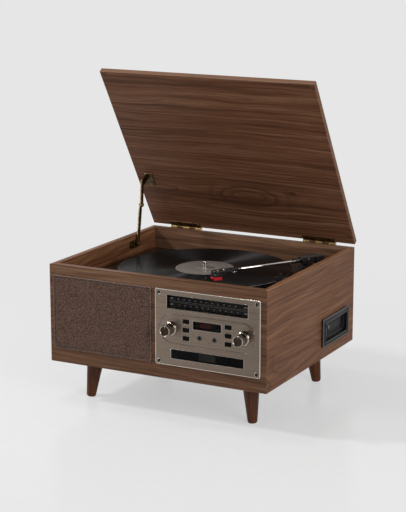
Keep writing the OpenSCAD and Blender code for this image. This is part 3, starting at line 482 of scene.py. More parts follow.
def build_grain(w, given):
    place = given["Vector"]
    # growth lines part around the figure and the knot
    pulls, near = [], []
    for label, size, strength in (("Figure", (0.085, 0.03, 9), 0.55), ("Knot", (0.016, 0.009, 9), 0.9)):
        away = w.vector("SUBTRACT", place, given[label])
        scaled = w.vector("DIVIDE", away, size)
        close = w.math("EXPONENT", w.times(w.vector("DOT_PRODUCT", scaled, scaled), -1.0))
        rise = w.parts(away)["Y"]
        pulls.append(w.times(w.times(close, rise), -strength))
        near.append(close)
    shift = w.joined(y=w.plus(*pulls))
    wave = w.minus(w.drawn_out(place, (3.2, 9, 9), 3, 0.5), 0.5)
    ripple = w.minus(w.drawn_out(place, (14, 60, 60), 2), 0.5)
    bend = w.plus(w.times(wave, given["Waviness"]), w.times(ripple, 0.0035))
    place = w.vector("ADD", w.vector("ADD", place, shift), w.joined(y=bend))
    parts = w.parts(place)
    below = w.plus(w.plus(given["Heart"], parts["Z"]), w.times(parts["X"], given["Lean"]))
    below = w.plus(below, w.times(near[0], given["Figure Depth"]))
    across = w.minus(parts["Y"], given["Heart Line"])
    reach = w.math("SQRT", w.plus(w.times(across, across), w.times(below, below)))
    phase = w.math("DIVIDE", reach, given["Ring Width"])
    phase = w.plus(phase, w.noise(w.joined(w.times(reach, 60.0)), 2))
    strong = w.noise(w.joined(w.times(w.math("FLOOR", phase), 0.61)), 1)
    saw = w.math("FRACT", phase)
    late = w.times(w.math("POWER", saw, 3.5), w.span(strong, 0.36, 0.62, 0.1, 1.0))
    rings = w.times(late, w.span(saw, 1.0, 0.93))
    bands = w.drawn_out(place, (1.2, 30, 30), 2, 0.5)
    streaks = w.drawn_out(place, (3, 105, 105), 3, 0.7)
    lines = w.drawn_out(place, (4, 300, 300), 3, 0.7)
    tint = w.plus(w.times(bands, 0.2), w.times(streaks, 0.4))
    tint = w.plus(tint, w.times(lines, 0.4))
    colour = w.mix(w.span(tint, 0.37, 0.49), given["Dark"], given["Mid"])
    colour = w.mix(w.span(tint, 0.5, 0.62), colour, given["Light"])
    # thin veins run the length of the board and come and go
    level = w.drawn_out(place, (1.4, 72, 72), 2, 0.5)
    vein = w.span(w.math("ABSOLUTE", w.minus(level, 0.5)), 0.0, 0.022, 1.0, 0.0)
    faint = w.span(w.drawn_out(place, (7, 24, 24), 2), 0.36, 0.6, 0.1, 0.62)
    colour = w.mix(w.times(vein, faint), colour, given["Dark"])
    pale = w.span(w.math("ABSOLUTE", w.minus(level, 0.43)), 0.0, 0.024, 1.0, 0.0)
    colour = w.mix(w.times(w.times(pale, faint), 0.8), colour, given["Light"])
    # painted shade: each board darkens around its figure, standing in for the shade on the lid's lower part
    # and on the side's lower front
    colour = w.mix(w.times(near[0], 0.28), colour, given["Dark"])
    marked = w.plus(given["Ring Strength"], w.times(near[0], 0.6))
    colour = w.mix(w.math("MULTIPLY", rings, marked, clamp=True), colour, given["Dark"])
    colour = w.mix(w.times(w.span(near[1], 0.72, 0.95), 0.75), colour, given["Dark"])
    fibre = w.drawn_out(place, (18, 800, 800), 2, 0.6)
    pores = w.span(w.drawn_out(place, (60, 1200, 1200), 1), 0.6, 0.72)
    colour = w.mix(w.span(fibre, 0.3, 0.7, 0.0, 0.3), colour, w.mix(0.5, colour, given["Dark"]))
    colour = w.mix(w.times(pores, 0.4), colour, given["Dark"])
    height = w.minus(w.times(fibre, 0.5), w.times(pores, 0.8))
    return {"Colour": colour, "Height": height, "Pores": pores}


def wood_grain():
    return effect("Wood Grain", [
        ("Vector", VECTOR, None), ("Heart", NUMBER, 0.03), ("Heart Line", NUMBER, 0.0),
        ("Lean", NUMBER, 0.02), ("Ring Width", NUMBER, 0.006), ("Ring Strength", NUMBER, 0.6),
        ("Waviness", NUMBER, 0.02), ("Figure", VECTOR, None), ("Figure Depth", NUMBER, 0.0),
        ("Knot", VECTOR, None), ("Dark", COLOUR, tone(60, 40, 30)), ("Mid", COLOUR, tone(95, 68, 52)),
        ("Light", COLOUR, tone(125, 94, 74)),
    ], [("Colour", COLOUR), ("Height", NUMBER), ("Pores", NUMBER)], build_grain)


def build_handling(w, given):
    place = given["Vector"]
    clouds = w.noise(place, 4.0, scale=given["Cloud Scale"])
    grain = w.noise(place, scale=given["Grain Scale"])
    cells = w.add("ShaderNodeTexVoronoi", {"Vector": place, "Scale": given["Speck Scale"]})
    specks = w.span(cells.outputs["Distance"], 0.02, 0.12, 1.0, 0.0)
    return {"Clouds": clouds, "Grain": grain, "Specks": specks}


def handling():
    return effect("Handling", [
        ("Vector", VECTOR, None), ("Cloud Scale", NUMBER, 14.0), ("Grain Scale", NUMBER, 2200.0),
        ("Speck Scale", NUMBER, 260.0),
    ], [("Clouds", NUMBER), ("Grain", NUMBER), ("Specks", NUMBER)], build_handling)


def build_brushing(w, given):
    place = given["Vector"]
    lines = w.drawn_out(place, (5, 1300, 1300), 2, 0.7)
    bands = w.drawn_out(place, (1.5, 160, 160), 3, 0.6)
    strokes = w.plus(w.times(lines, 0.65), w.times(bands, 0.35))
    return {"Strokes": strokes, "Height": lines}


def brushing():
    return effect("Brushing", [("Vector", VECTOR, None)], [("Strokes", NUMBER), ("Height", NUMBER)],
                  build_brushing)


def build_weave(w, given):
    parts = w.parts(given["Vector"])
    drift = w.drawn_out(given["Vector"], (60, 60, 60), 2)
    drift = w.times(w.minus(drift, 0.5), 0.0006)
    across = w.math("DIVIDE", w.plus(parts["X"], drift), given["Thread"])
    along = w.math("DIVIDE", w.plus(parts["Z"], drift), given["Thread"])
    warp_wave = w.math("SINE", w.times(across, math.pi))
    weft_wave = w.math("SINE", w.times(along, math.pi))
    over = w.times(warp_wave, weft_wave)
    warp = w.math("ABSOLUTE", warp_wave)
    weft = w.math("ABSOLUTE", weft_wave)
    top = w.span(over, -0.25, 0.25)
    height = w.plus(w.times(warp, w.span(top, 0, 1, 0.55, 1)),
                    w.times(weft, w.span(top, 0, 1, 1, 0.55)))
    # each thread has its own shade, which changes slowly along it
    warp_id = w.math("FLOOR", across)
    weft_id = w.math("FLOOR", along)
    warp_tone = w.noise(w.joined(w.times(warp_id, 3.17), w.times(along, 0.7)), 2)
    weft_tone = w.noise(w.joined(w.times(across, 0.7), w.times(weft_id, 2.71), 7.0), 2)
    shade = w.mix(top, weft_tone, warp_tone)
    fuzz = w.drawn_out(given["Vector"], (4200, 4200, 4200), 2)
    colour = w.mix(w.span(shade, 0.4, 0.58), given["Dark"], given["Light"])
    colour = w.mix(w.span(height, 1.15, 0.45, 0.0, 0.75), colour, given["Gap"])
    colour = w.mix(w.span(fuzz, 0.3, 0.7, 0.0, 0.14), colour, given["Light"])
    return {"Colour": colour, "Height": w.plus(height, w.times(fuzz, 0.35))}


def tweed_weave():
    return effect("Tweed Weave", [
        ("Vector", VECTOR, None), ("Thread", NUMBER, 0.00095), ("Dark", COLOUR, tone(66, 52, 45)),
        ("Light", COLOUR, tone(128, 110, 100)), ("Gap", COLOUR, tone(36, 28, 24)),
    ], [("Colour", COLOUR), ("Height", NUMBER)], build_weave)


def build_grooves(w, given):
    away = w.vector("SUBTRACT", given["Vector"], given["Centre"])
    flat = w.vector("MULTIPLY", away, (1, 1, 0))
    reach = w.vector("LENGTH", flat)
    wave = w.math("SINE", w.times(w.math("DIVIDE", reach, given["Pitch"]), 2 * math.pi))
    band = w.noise(w.joined(w.times(reach, 420.0)), 3, 0.7)
    return {"Height": wave, "Bands": band, "Reach": reach}


def round_grooves():
    return effect("Round Grooves", [("Vector", VECTOR, None), ("Centre", VECTOR, None),
                                    ("Pitch", NUMBER, 0.0008)],
                  [("Height", NUMBER), ("Bands", NUMBER), ("Reach", NUMBER)], build_grooves)


def finish(name, build, **plain):
    """A material around one shader; `plain` sets the shader's own sockets, `build` wires what changes."""
    found = bpy.data.materials.get(name)
    if found:
        return found
    made = bpy.data.materials.new(name)
    made.use_nodes = True
    tree = made.node_tree
    tree.nodes.clear()
    wires = Wiring(tree)
    shader = wires.add("ShaderNodeBsdfPrincipled")
    wires.add("ShaderNodeOutputMaterial", {"Surface": shader.outputs[0]})
    for label, value in plain.items():
        shader.inputs[label.replace("_", " ")].default_value = value
    for label, socket in build(wires).items():
        tree.links.new(socket, shader.inputs[label])
    return made


# A figure or knot here lies off every board
AWAY = (9.0, 9.0, 9.0)


def boards(name, order, dark, mid, light, heart=0.03, heart_line=0.05, lean=0.03, ring_width=0.006,
           rings=0.7, waviness=0.012, figure=AWAY, figure_depth=0.0, knot=AWAY, place=None, rough=0.5,
           coat=0.0, rim=None):
    """Wood whose grain runs along the first letter of `order`, drawn in metres from the cabinet's corner.

    `heart`, `heart_line` and `lean` place the tree's middle, `figure` and `knot` are places on the board,
    and `rim` is the board's flat direction, the tone of its cut edges and how much of that tone they take.
    """
    place = place or Matrix.Translation(-CORNER)

    def build(w):
        where = w.add("ShaderNodeMapping", {
            "Vector": w.coordinates(), "Location": tuple(place.translation),
            "Rotation": tuple(place.to_euler()),
        }).outputs[0]
        where = w.ordered(where, order)
        out = w.place(wood_grain(), {
            "Vector": where, "Heart": heart, "Heart Line": heart_line, "Lean": lean,
            "Ring Width": ring_width, "Ring Strength": rings, "Waviness": waviness,
            "Figure": figure, "Figure Depth": figure_depth, "Knot": knot,
            "Dark": tone(*dark), "Mid": tone(*mid), "Light": tone(*light),
        })
        hands = w.place(handling(), {"Vector": where, "Cloud Scale": 9.0})
        rough_map = w.plus(w.about(hands["Clouds"], rough, 0.06),
                           w.times(out["Pores"], 0.12))
        colour = out["Colour"]
        if rim:
            upright, edge_tone, share = rim
            flat = w.vector("DOT_PRODUCT", w.add("ShaderNodeTexCoord").outputs["Normal"], upright)
            edge = w.span(w.math("ABSOLUTE", flat), 0.9, 0.6)
            colour = w.mix(w.times(edge, share), colour, tone(*edge_tone))
        return {"Base Color": colour, "Roughness": rough_map, "Normal": w.relief(out["Height"], 0.3, 0.1)}
    return finish(name, build, Coat_Weight=coat, Coat_Roughness=0.25, Specular_IOR_Level=0.16)


def walnut(name, order, **more):
    """Walnut veneer and the paler finish of its rounded edges."""
    face = boards(name, order, **more)
    paler = {**more, "dark": (92, 66, 50), "mid": (134, 103, 83), "light": (164, 133, 111)}
    return face, boards(name + " edge", order, **paler)


def moulded(name, colour, rough=0.5, spread=0.08, grain=2200.0, relief=0.05, shine=0.0, **plain):
    """Moulded plastic, paint or rubber: a fine grain, clouded gloss and specks of dust."""
    def build(w):
        out = w.place(handling(), {"Vector": w.coordinates(), "Grain Scale": grain})
        base = tone(*colour)
        pale = dimmed(base, 1.18, 0.004)
        tint = w.mix(w.span(out["Clouds"], 0.35, 0.65), base, pale)
        tint = w.mix(w.times(out["Specks"], 0.12), tint, tone(150, 145, 140))
        return {
            "Base Color": tint,
            "Roughness": w.plus(w.about(out["Clouds"], rough, spread),
                                w.times(out["Specks"], 0.1)),
            "Normal": w.relief(out["Grain"], 0.5, relief),
        }
    return finish(name, build, Coat_Weight=shine, Coat_Roughness=0.06, **plain)


def metal(name, colour, rough=0.3, spread=0.08, tarnish=None, amount=0.5, grain=900.0, relief=0.02,
          scale=60.0, **plain):
    """Bare or plated metal with a clouded polish and, where given, tarnish."""
    def build(w):
        out = w.place(handling(), {"Vector": w.coordinates(), "Cloud Scale": scale, "Grain Scale": grain})
        tint = w.mix(w.times(w.span(out["Clouds"], 0.4, 0.62), amount if tarnish else 0.1),
                     tone(*colour), tone(*(tarnish or [c * 0.85 for c in colour])))
        return {
            "Base Color": tint,
            "Roughness": w.about(out["Clouds"], rough, spread),
            "Normal": w.relief(out["Grain"], 0.4, relief),
        }
    return finish(name, build, Metallic=1.0, **plain)


def brushed(name, colour, order="xzy", rough=0.33, dark=0.82, **plain):
    """Metal brushed along its length, which spreads its highlights across the strokes."""
    def build(w):
        place = w.ordered(w.coordinates(), order)
        out = w.place(brushing(), {"Vector": place})
        hands = w.place(handling(), {"Vector": place, "Cloud Scale": 22.0})
        base = tone(*colour)
        low = dimmed(base, dark)
        return {
            "Base Color": w.mix(w.span(out["Strokes"], 0.35, 0.65), low, base),
            "Roughness": w.plus(w.about(out["Strokes"], rough, 0.07),
                                w.span(hands["Clouds"], 0.4, 0.7, 0.0, 0.06)),
            "Normal": w.relief(out["Height"], 0.5, 0.03),
            "Tangent": w.add("ShaderNodeTangent", direction_type="RADIAL", axis="Z").outputs[0],
        }
    return finish(name, build, Metallic=1.0, Anisotropic=0.7, Anisotropic_Rotation=0.25, **plain)


def turned(name, colour, centre, axes=(1, 1, 0), pitch=0.35, rough=0.28, depth=0.02, metallic=1.0,
           rays=None, **plain):
    """A lathe-turned face with fine rings about its centre; `rays` is the axis its highlights run from."""
    def build(w):
        away = w.vector("MULTIPLY", w.vector("SUBTRACT", w.coordinates(), tuple(centre)), axes)
        reach = w.vector("LENGTH", away)
        wave = w.math("SINE", w.times(reach, 2 * math.pi / (pitch * MM)))
        band = w.noise(w.joined(w.times(reach, 900.0)), 3)
        base = tone(*colour)
        low = dimmed(base, 0.72)
        wires = {
            "Base Color": w.mix(w.span(band, 0.35, 0.65), low, base),
            "Roughness": w.about(band, rough, 0.08),
            "Normal": w.relief(wave, 0.6, depth),
        }
        if rays:
            wires["Tangent"] = w.add("ShaderNodeTangent", direction_type="RADIAL", axis=rays).outputs[0]
        return wires
    if rays:
        plain.update(Anisotropic=0.85, Anisotropic_Rotation=0.25)
    return finish(name, build, Metallic=metallic, **plain)


def printed(name, colour, glow=0.0):
    """Screen-printed marks, slightly uneven."""
    def build(w):
        out = w.place(handling(), {"Vector": w.coordinates(), "Cloud Scale": 400.0})
        base = tone(*colour)
        low = dimmed(base, 0.75)
        ink = w.mix(w.span(out["Clouds"], 0.35, 0.65), low, base)
        wires = {"Base Color": ink, "Roughness": w.span(out["Grain"], 0.3, 0.7, 0.4, 0.6)}
        if glow:
            wires["Emission Color"] = ink
        return wires
    return finish(name, build, Emission_Strength=glow)


def cloth(settings):
    """The grille's tweed in its two yarns."""
    def build(w):
        out = w.place(tweed_weave(), {
            "Vector": w.coordinates(), "Thread": settings.thread * MM,
            "Dark": (*settings.dark_thread, 1), "Light": (*settings.pale_thread, 1),
        })
        return {"Base Color": out["Colour"], "Normal": w.relief(out["Height"], 0.8, 0.28),
                "Roughness": w.span(out["Height"], 0.4, 1.6, 0.95, 0.75)}
    return finish("Grille tweed", build, Sheen_Weight=0.06, Sheen_Roughness=0.5, Specular_IOR_Level=0.1)


def record_black():
    """Black lacquer with fine ribs about the spindle: a soft streak across them and a sharp clear coat."""
    def build(w):
        out = w.place(round_grooves(), {"Vector": w.coordinates(), "Centre": tuple(PLATTER_CENTRE),
                                        "Pitch": 0.0011})
        hands = w.place(handling(), {"Vector": w.coordinates(), "Cloud Scale": 18.0})
        tint = w.mix(w.span(out["Bands"], 0.35, 0.65), tone(10, 10, 10), tone(18, 17, 17))
        tangent = w.add("ShaderNodeTangent", direction_type="RADIAL", axis="Z").outputs[0]
        return {
            "Base Color": tint, "Tangent": tangent,
            "Roughness": w.plus(w.span(out["Bands"], 0.3, 0.7, 0.56, 0.66),
                                w.span(hands["Clouds"], 0.4, 0.7, 0, 0.04)),
            "Normal": w.relief(out["Height"], 0.12, 0.02),
        }
    return finish("Platter black", build, Anisotropic=0.95, Anisotropic_Rotation=0.25, Coat_Weight=0.12,
                  Coat_Roughness=0.03, Coat_IOR=1.35, Specular_IOR_Level=0.2)


def smoked(name, colour, rough=0.02):
    """Smoked clear acrylic."""
    def build(w):
        out = w.place(handling(), {"Vector": w.coordinates(), "Cloud Scale": 30.0})
        base = tone(*colour)
        return {"Base Color": w.mix(w.span(out["Clouds"], 0.4, 0.6), base, dimmed(base, 0.92)),
                "Roughness": w.span(out["Clouds"], 0.3, 0.7, rough, rough + 0.03)}
    return finish(name, build, Transmission_Weight=1.0, IOR=1.12)


def gloss_black():
    return moulded("Gloss black", (7, 6, 6), 0.26, 0.04, relief=0.01, Specular_IOR_Level=0.04)


def display_black():
    return moulded("Display black", (8, 8, 8), 0.4, Specular_IOR_Level=0.2)


def terminal_black():
    return moulded("Terminal black", (28, 28, 29), 0.45)


def circuit_green():
    return moulded("Circuit green", (28, 72, 44), 0.45, relief=0.12)


def screw_recess():
    return moulded("Screw recess", (14, 13, 13), 0.6)


def dark_screw():
    return metal("Dark screw", (62, 58, 55), 0.35)


def warm_nickel():
    return metal("Warm nickel", (170, 160, 149), 0.09, 0.03, relief=0.004)


def chrome():
    return metal("Chrome", (214, 212, 208), 0.07, 0.03, relief=0.004)


# Settings


class MusicCentreFinish(PropertyGroup):
    """Colours and weave of the visible surfaces."""
    dark_thread: FloatVectorProperty(
        name="Dark Thread", description="Darker yarn of the grille cloth", subtype="COLOR", size=3,
        default=tone(22, 13, 10)[:3], min=0, max=1)
    pale_thread: FloatVectorProperty(
        name="Pale Thread", description="Paler yarn of the grille cloth", subtype="COLOR", size=3,
        default=tone(132, 102, 88)[:3], min=0, max=1)
    thread: FloatProperty(
        name="Thread Spacing", description="Distance between neighbouring threads, in millimetres",
        default=1.15, min=0.3, max=2)
    edge_radius: FloatProperty(
        name="Board Edge", description="Radius of the boards' rounded edges, in millimetres",
        default=0.8, min=0.1, max=2)


class MusicCentrePanel(PropertyGroup):
    """Sizes of the details on the control panel."""
    bevel: FloatProperty(
        name="Plate Edge", description="Rounding of the metal panel's edges, in millimetres",
        default=0.55, min=0.1, max=1)
    letter: FloatProperty(
        name="Letter Height", description="Height of the printed words on the panel, in millimetres",
        default=1.9, min=1, max=3)
    figure: FloatProperty(
        name="Dial Figure Height", description="Height of the numbers on the dial, in millimetres",
        default=3.0, min=1.5, max=5)
    display: StringProperty(
        name="Display", description="Figures that glow in the display", default="0000")


class MusicCentreStudio(PropertyGroup):
    """Camera, lamps and floor."""
    camera_place: FloatVectorProperty(
        name="Camera Place", description="Where the camera stands", subtype="TRANSLATION", unit="LENGTH",
        size=3, default=(1.23026, -2.35246, 0.84812))
    camera_yaw: FloatProperty(
        name="Camera Yaw", description="Turn of the camera to the right of the depth axis", subtype="ANGLE",
        default=-0.48275)
    camera_pitch: FloatProperty(
        name="Camera Pitch", description="Tilt of the camera above the horizon", subtype="ANGLE",
        default=-0.22653)
    lens: FloatProperty(
        name="Focal Length", description="Lens on a 36 mm sensor", subtype="DISTANCE_CAMERA",
        default=113.158)
    key_power: FloatProperty(
        name="Key Power", description="Power of the key lamp on the left", subtype="POWER", unit="POWER",
        default=56.0)
    fill_power: FloatProperty(
        name="Fill Power", description="Power of the soft lamp on the right", subtype="POWER", unit="POWER",
        default=34.0)
    surround: FloatProperty(
        name="Surround", description="Brightness of the studio around the object",
        default=0.36, min=0, max=2)


# Pieces


class MUSICCENTRE_OT_cabinet(Operator):
    """Dresses the cabinet's boards and legs in walnut"""
    bl_idname = "musiccentre.cabinet"
    bl_label = "Cabinet and Legs"

    def execute(self, context):
        radius = context.scene.centre_finish.edge_radius
        face, edge = walnut("Walnut front", "xzy", dark=(64, 42, 30), mid=(108, 76, 56),
                            light=(142, 108, 83), heart_line=-0.02, heart=0.02, lean=0.06)
        dress("front_board", face, edge, radius)
        dress("back_panel", face, edge, radius)
        face, edge = walnut("Walnut side", "yzx", dark=(75, 45, 28), mid=(117, 77, 51),
                            light=(154, 111, 80), heart_line=0.03, heart=-0.37, lean=0.1,
                            waviness=0.022, figure=(0.03, 0.035, 0.4), figure_depth=0.012)
        dress("left_side_panel right_side_panel", face, edge, radius)
        inner = boards("Stained board", "xyz", dark=(48, 31, 22), mid=(72, 50, 37), light=(92, 68, 52),
                       rough=0.55)
        dress("bottom_panel deck_cleats", inner, None, 0.5)
        legs = boards("Leg wood", "zxy", dark=(48, 22, 9), mid=(84, 43, 20), light=(110, 60, 30),
                      heart=0.03, lean=0.1, ring_width=0.003, rings=0.5, rough=0.32, coat=0.1)
        dress("legs", legs, None, 0)
        dark = metal("Leg plate steel", (58, 55, 52), 0.4)
        dress("leg_plates", dark, None, 0.3)
        # each leg's plate has a screw near each corner
        shapes = []
        for leg_x in (53.86, 346.14):
            for leg_y in (54.86, 297.14):
                for dx, dy in ((-17, 17), (17, -17), (17, 17), (-17, -17)):
                    under = facing((1, 0, 0), (0, -1, 0), (0, 0, -1), (leg_x + dx, leg_y + dy, -2.5))
                    shapes += screws(under, [(0, 0)], 2.6, 1.0)
        piece("leg_plate_screws", "cabinet", [dark, screw_recess()], shapes)
        return {"FINISHED"}


class MUSICCENTRE_OT_lid(Operator):
    """Dresses the lid and makes the screws and rivets of its hinges and stay"""
    bl_idname = "musiccentre.lid"
    bl_label = "Lid, Hinges and Stay"

    def execute(self, context):
        radius = context.scene.centre_finish.edge_radius
        back = Matrix.Diagonal((MM, MM, MM, 1)) @ LID.inverted()
        underside = (0, -math.sin(LID_OPEN), -math.cos(LID_OPEN))
        face, edge = walnut("Walnut lid", "xyz", dark=(71, 43, 29), mid=(118, 78, 56), light=(150, 109, 83),
                            heart_line=0.262, heart=-0.15, lean=0.015, ring_width=0.0065, waviness=0.02,
                            figure=(0.215, 0.262, 0.17), figure_depth=0.03, knot=(0.305, 0.245, 0.17),
                            place=back, rim=(underside, (116, 86, 66), 0.6))
        dress("lid_panel", face, edge, radius)
        dress("lid_bumpers", moulded("Bumper rubber", (88, 62, 47), 0.5, Specular_IOR_Level=0.2), None, 0)
        brass = metal("Antique brass", (104, 86, 58), 0.42, 0.1, tarnish=(52, 43, 30), amount=0.8,
                      scale=150.0)
        bright = metal("Worn brass", (176, 148, 100), 0.34, 0.08, tarnish=(120, 98, 64), amount=0.5,
                       scale=220.0)
        # painted highlight: the fixed leaves take a lighter copy of the hinge brass, standing for the light
        # their knuckles catch
        highlit_brass = metal("Brass painted highlight", (186, 156, 104), 0.36, 0.08, tarnish=(120, 96, 60), amount=0.6,
                       scale=200.0)
        stay_metal = metal("Stay brass", (156, 140, 112), 0.32, 0.08, tarnish=(84, 72, 54), amount=0.6,
                           scale=110.0)
        dress("hinge_lid_leaves", brass, bright, 0.3)
        dress("hinge_fixed_leaves", highlit_brass, bright, 0.25)
        dress("stay_lid_bracket stay_wall_bracket", brass, bright, 0.25)
        dress("stay_upper_arm stay_lower_arm", stay_metal, bright, 0.3)
        self.hinge_screws([brass, screw_recess()])
        self.stay_details(brass, bright)
        return {"FINISHED"}

    def hinge_screws(self, finishes):
        """Three screws in each leaf; those of the lid lie flush, so that the hinge can shut."""
        lid_screws, wall_screws = [], []
        for start in (36.5, 301.5):
            for step in (8, 31, 54):
                x = start + step
                leaf = LID @ Matrix.Translation((x, 346.6, 167.3)) @ Matrix.Rotation(math.pi, 4, "X")
                lid_screws += screws(leaf, [(0, 0)], 2.1, 0.2)
                wall_screws += screws(BACK, [(-x, 155.5)], 2.2, 0.8, 1.2)
        piece("hinge_screws_lid", "lid", finishes, lid_screws)
        piece("hinge_screws_back", "cabinet", finishes, wall_screws)

    def stay_details(self, brass, bright):
        """Rivets, doubler and bracket screws of the stay."""
        stay = facing((0, 1, 0), (0, 0, 1), (1, 0, 0))
        rivet = lathe([(3.4, 0), (3.3, 0.5), (2.6, 1.0), (1.4, 1.25), (0, 1.3)], 32)
        rivets = (("stay_low_rivet", "cabinet", STAY_LOW.yz, 16.1),
                  ("stay_knee_rivet", "stay_upper", STAY_KNEE, 18.8))
        for name, body, (y, z), x in rivets:
            piece(name, body, [bright], [(0, stay, shifted(rivet, y, z, x))])
        # a thin doubler runs down the lower arm from the knee and ends at a flush rivet
        along = (STAY_LOW.yz - Vector(STAY_KNEE)).normalized()
        arm = facing((0, along.x, along.y), (0, -along.y, along.x), (1, 0, 0), (15, *STAY_KNEE))
        flush = lathe([(2.3, 0.3), (2.2, 0.42), (1.4, 0.46), (0, 0.46)], 24, (33, 0, 0))
        piece("stay_doubler", "stay_lower", [brass, bright], [
            (0, arm, plate(rounded(22, 0, 33, 8.2, 4.0), (), 0.35, 0.1, 0.32)), (1, arm, flush),
        ])
        # the wall bracket's three screws: the one behind the arm lies flush
        heads = []
        for y, z, high, spot in ((-18, 0, 0.22, 12.6), (-10, -4, 0.7, 12.0), (-10, 4, 0.7, 12.0)):
            heads += screws(stay, [(STAY_LOW.y + y, STAY_LOW.z + z)], 2.2, high, spot)
        piece("stay_bracket_screws", "cabinet", [bright, screw_recess()], heads)


CLOTH_RADIUS = 2.6
TURNED_IN = 0.2


class MUSICCENTRE_OT_grille(Operator):
    """Stretches tweed over the grille's frame"""
    bl_idname = "musiccentre.grille"
    bl_label = "Cloth Grille"

    def execute(self, context):
        low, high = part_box("grille_cloth")
        width, depth, height = ((b - a) / MM for a, b in zip(low, high))
        middle = ((low + high) / 2 - CORNER) / MM
        face = (CORNER.y - low.y) / MM
        rim = (middle.x, middle.z, width, height)
        cover = self.cover(rim, face, depth, cloth(context.scene.centre_finish))
        dress("grille_frame", moulded("Frame black", (30, 29, 29), 0.55), None, 0.3)
        # a fine bead lines the cloth's rim; its pale tone is partly the bead's own and partly a painted
        # highlight along the rim
        bead = framed(rim, (-1.0, 2.5), (-1.9, 2.1), 0.6, 0.2, face - 0.55)
        brown = moulded("Bead brown", (136, 118, 104), 0.26, 0.05, shine=0.6)
        piece("grille_bead", "cabinet", [brown], [(0, FRONT, bead)])
        return {"FINISHED"}

    def cover(self, rim, face, depth, tweed):
        """The cloth, from its turned-in edge over the rounded rim to the middle of its face."""
        x, z, width, height = rim
        bend = [math.radians(a) for a in (15, 30, 45, 60, 75, 90)]
        # each ring is (inset, depth behind the face)
        rings = [(0, depth - TURNED_IN), (0, depth - 2.0), (0, CLOTH_RADIUS)]
        rings += [(CLOTH_RADIUS * (1 - math.cos(a)), CLOTH_RADIUS * (1 - math.sin(a))) for a in bend]
        # the cloth dips a little behind the rim before it lies flat
        dips = [(0.5, 0.25), (1.0, 0.8), (1.7, 0.9), (2.4, 0.45)]
        dips += [(step, 0.3) for step in (3.2, 6, 11, 20, 31, 42, 54)]
        rings += [(CLOTH_RADIUS + step, dip) for step, dip in dips]
        verts, faces = [], []
        for inset, back in rings:
            keep = max(3.0 - inset, 0.05)
            outline = rounded(x, z, width - 2 * inset, height - 2 * inset, keep)
            verts += [(a, b, face - back) for a, b in outline]
        count = len(verts) // len(rings)
        for start in range(0, len(verts) - count, count):
            for j in range(count):
                k = (j + 1) % count
                faces.append((start + j, start + k, start + count + k, start + count + j))
        faces.append(tuple(range(len(verts) - count, len(verts))))
        return piece("grille_tweed", "cabinet", [tweed], [(0, FRONT, (verts, faces))],
                     ["grille_cloth"], 60)


FIGURE_WIDTH = 0.76


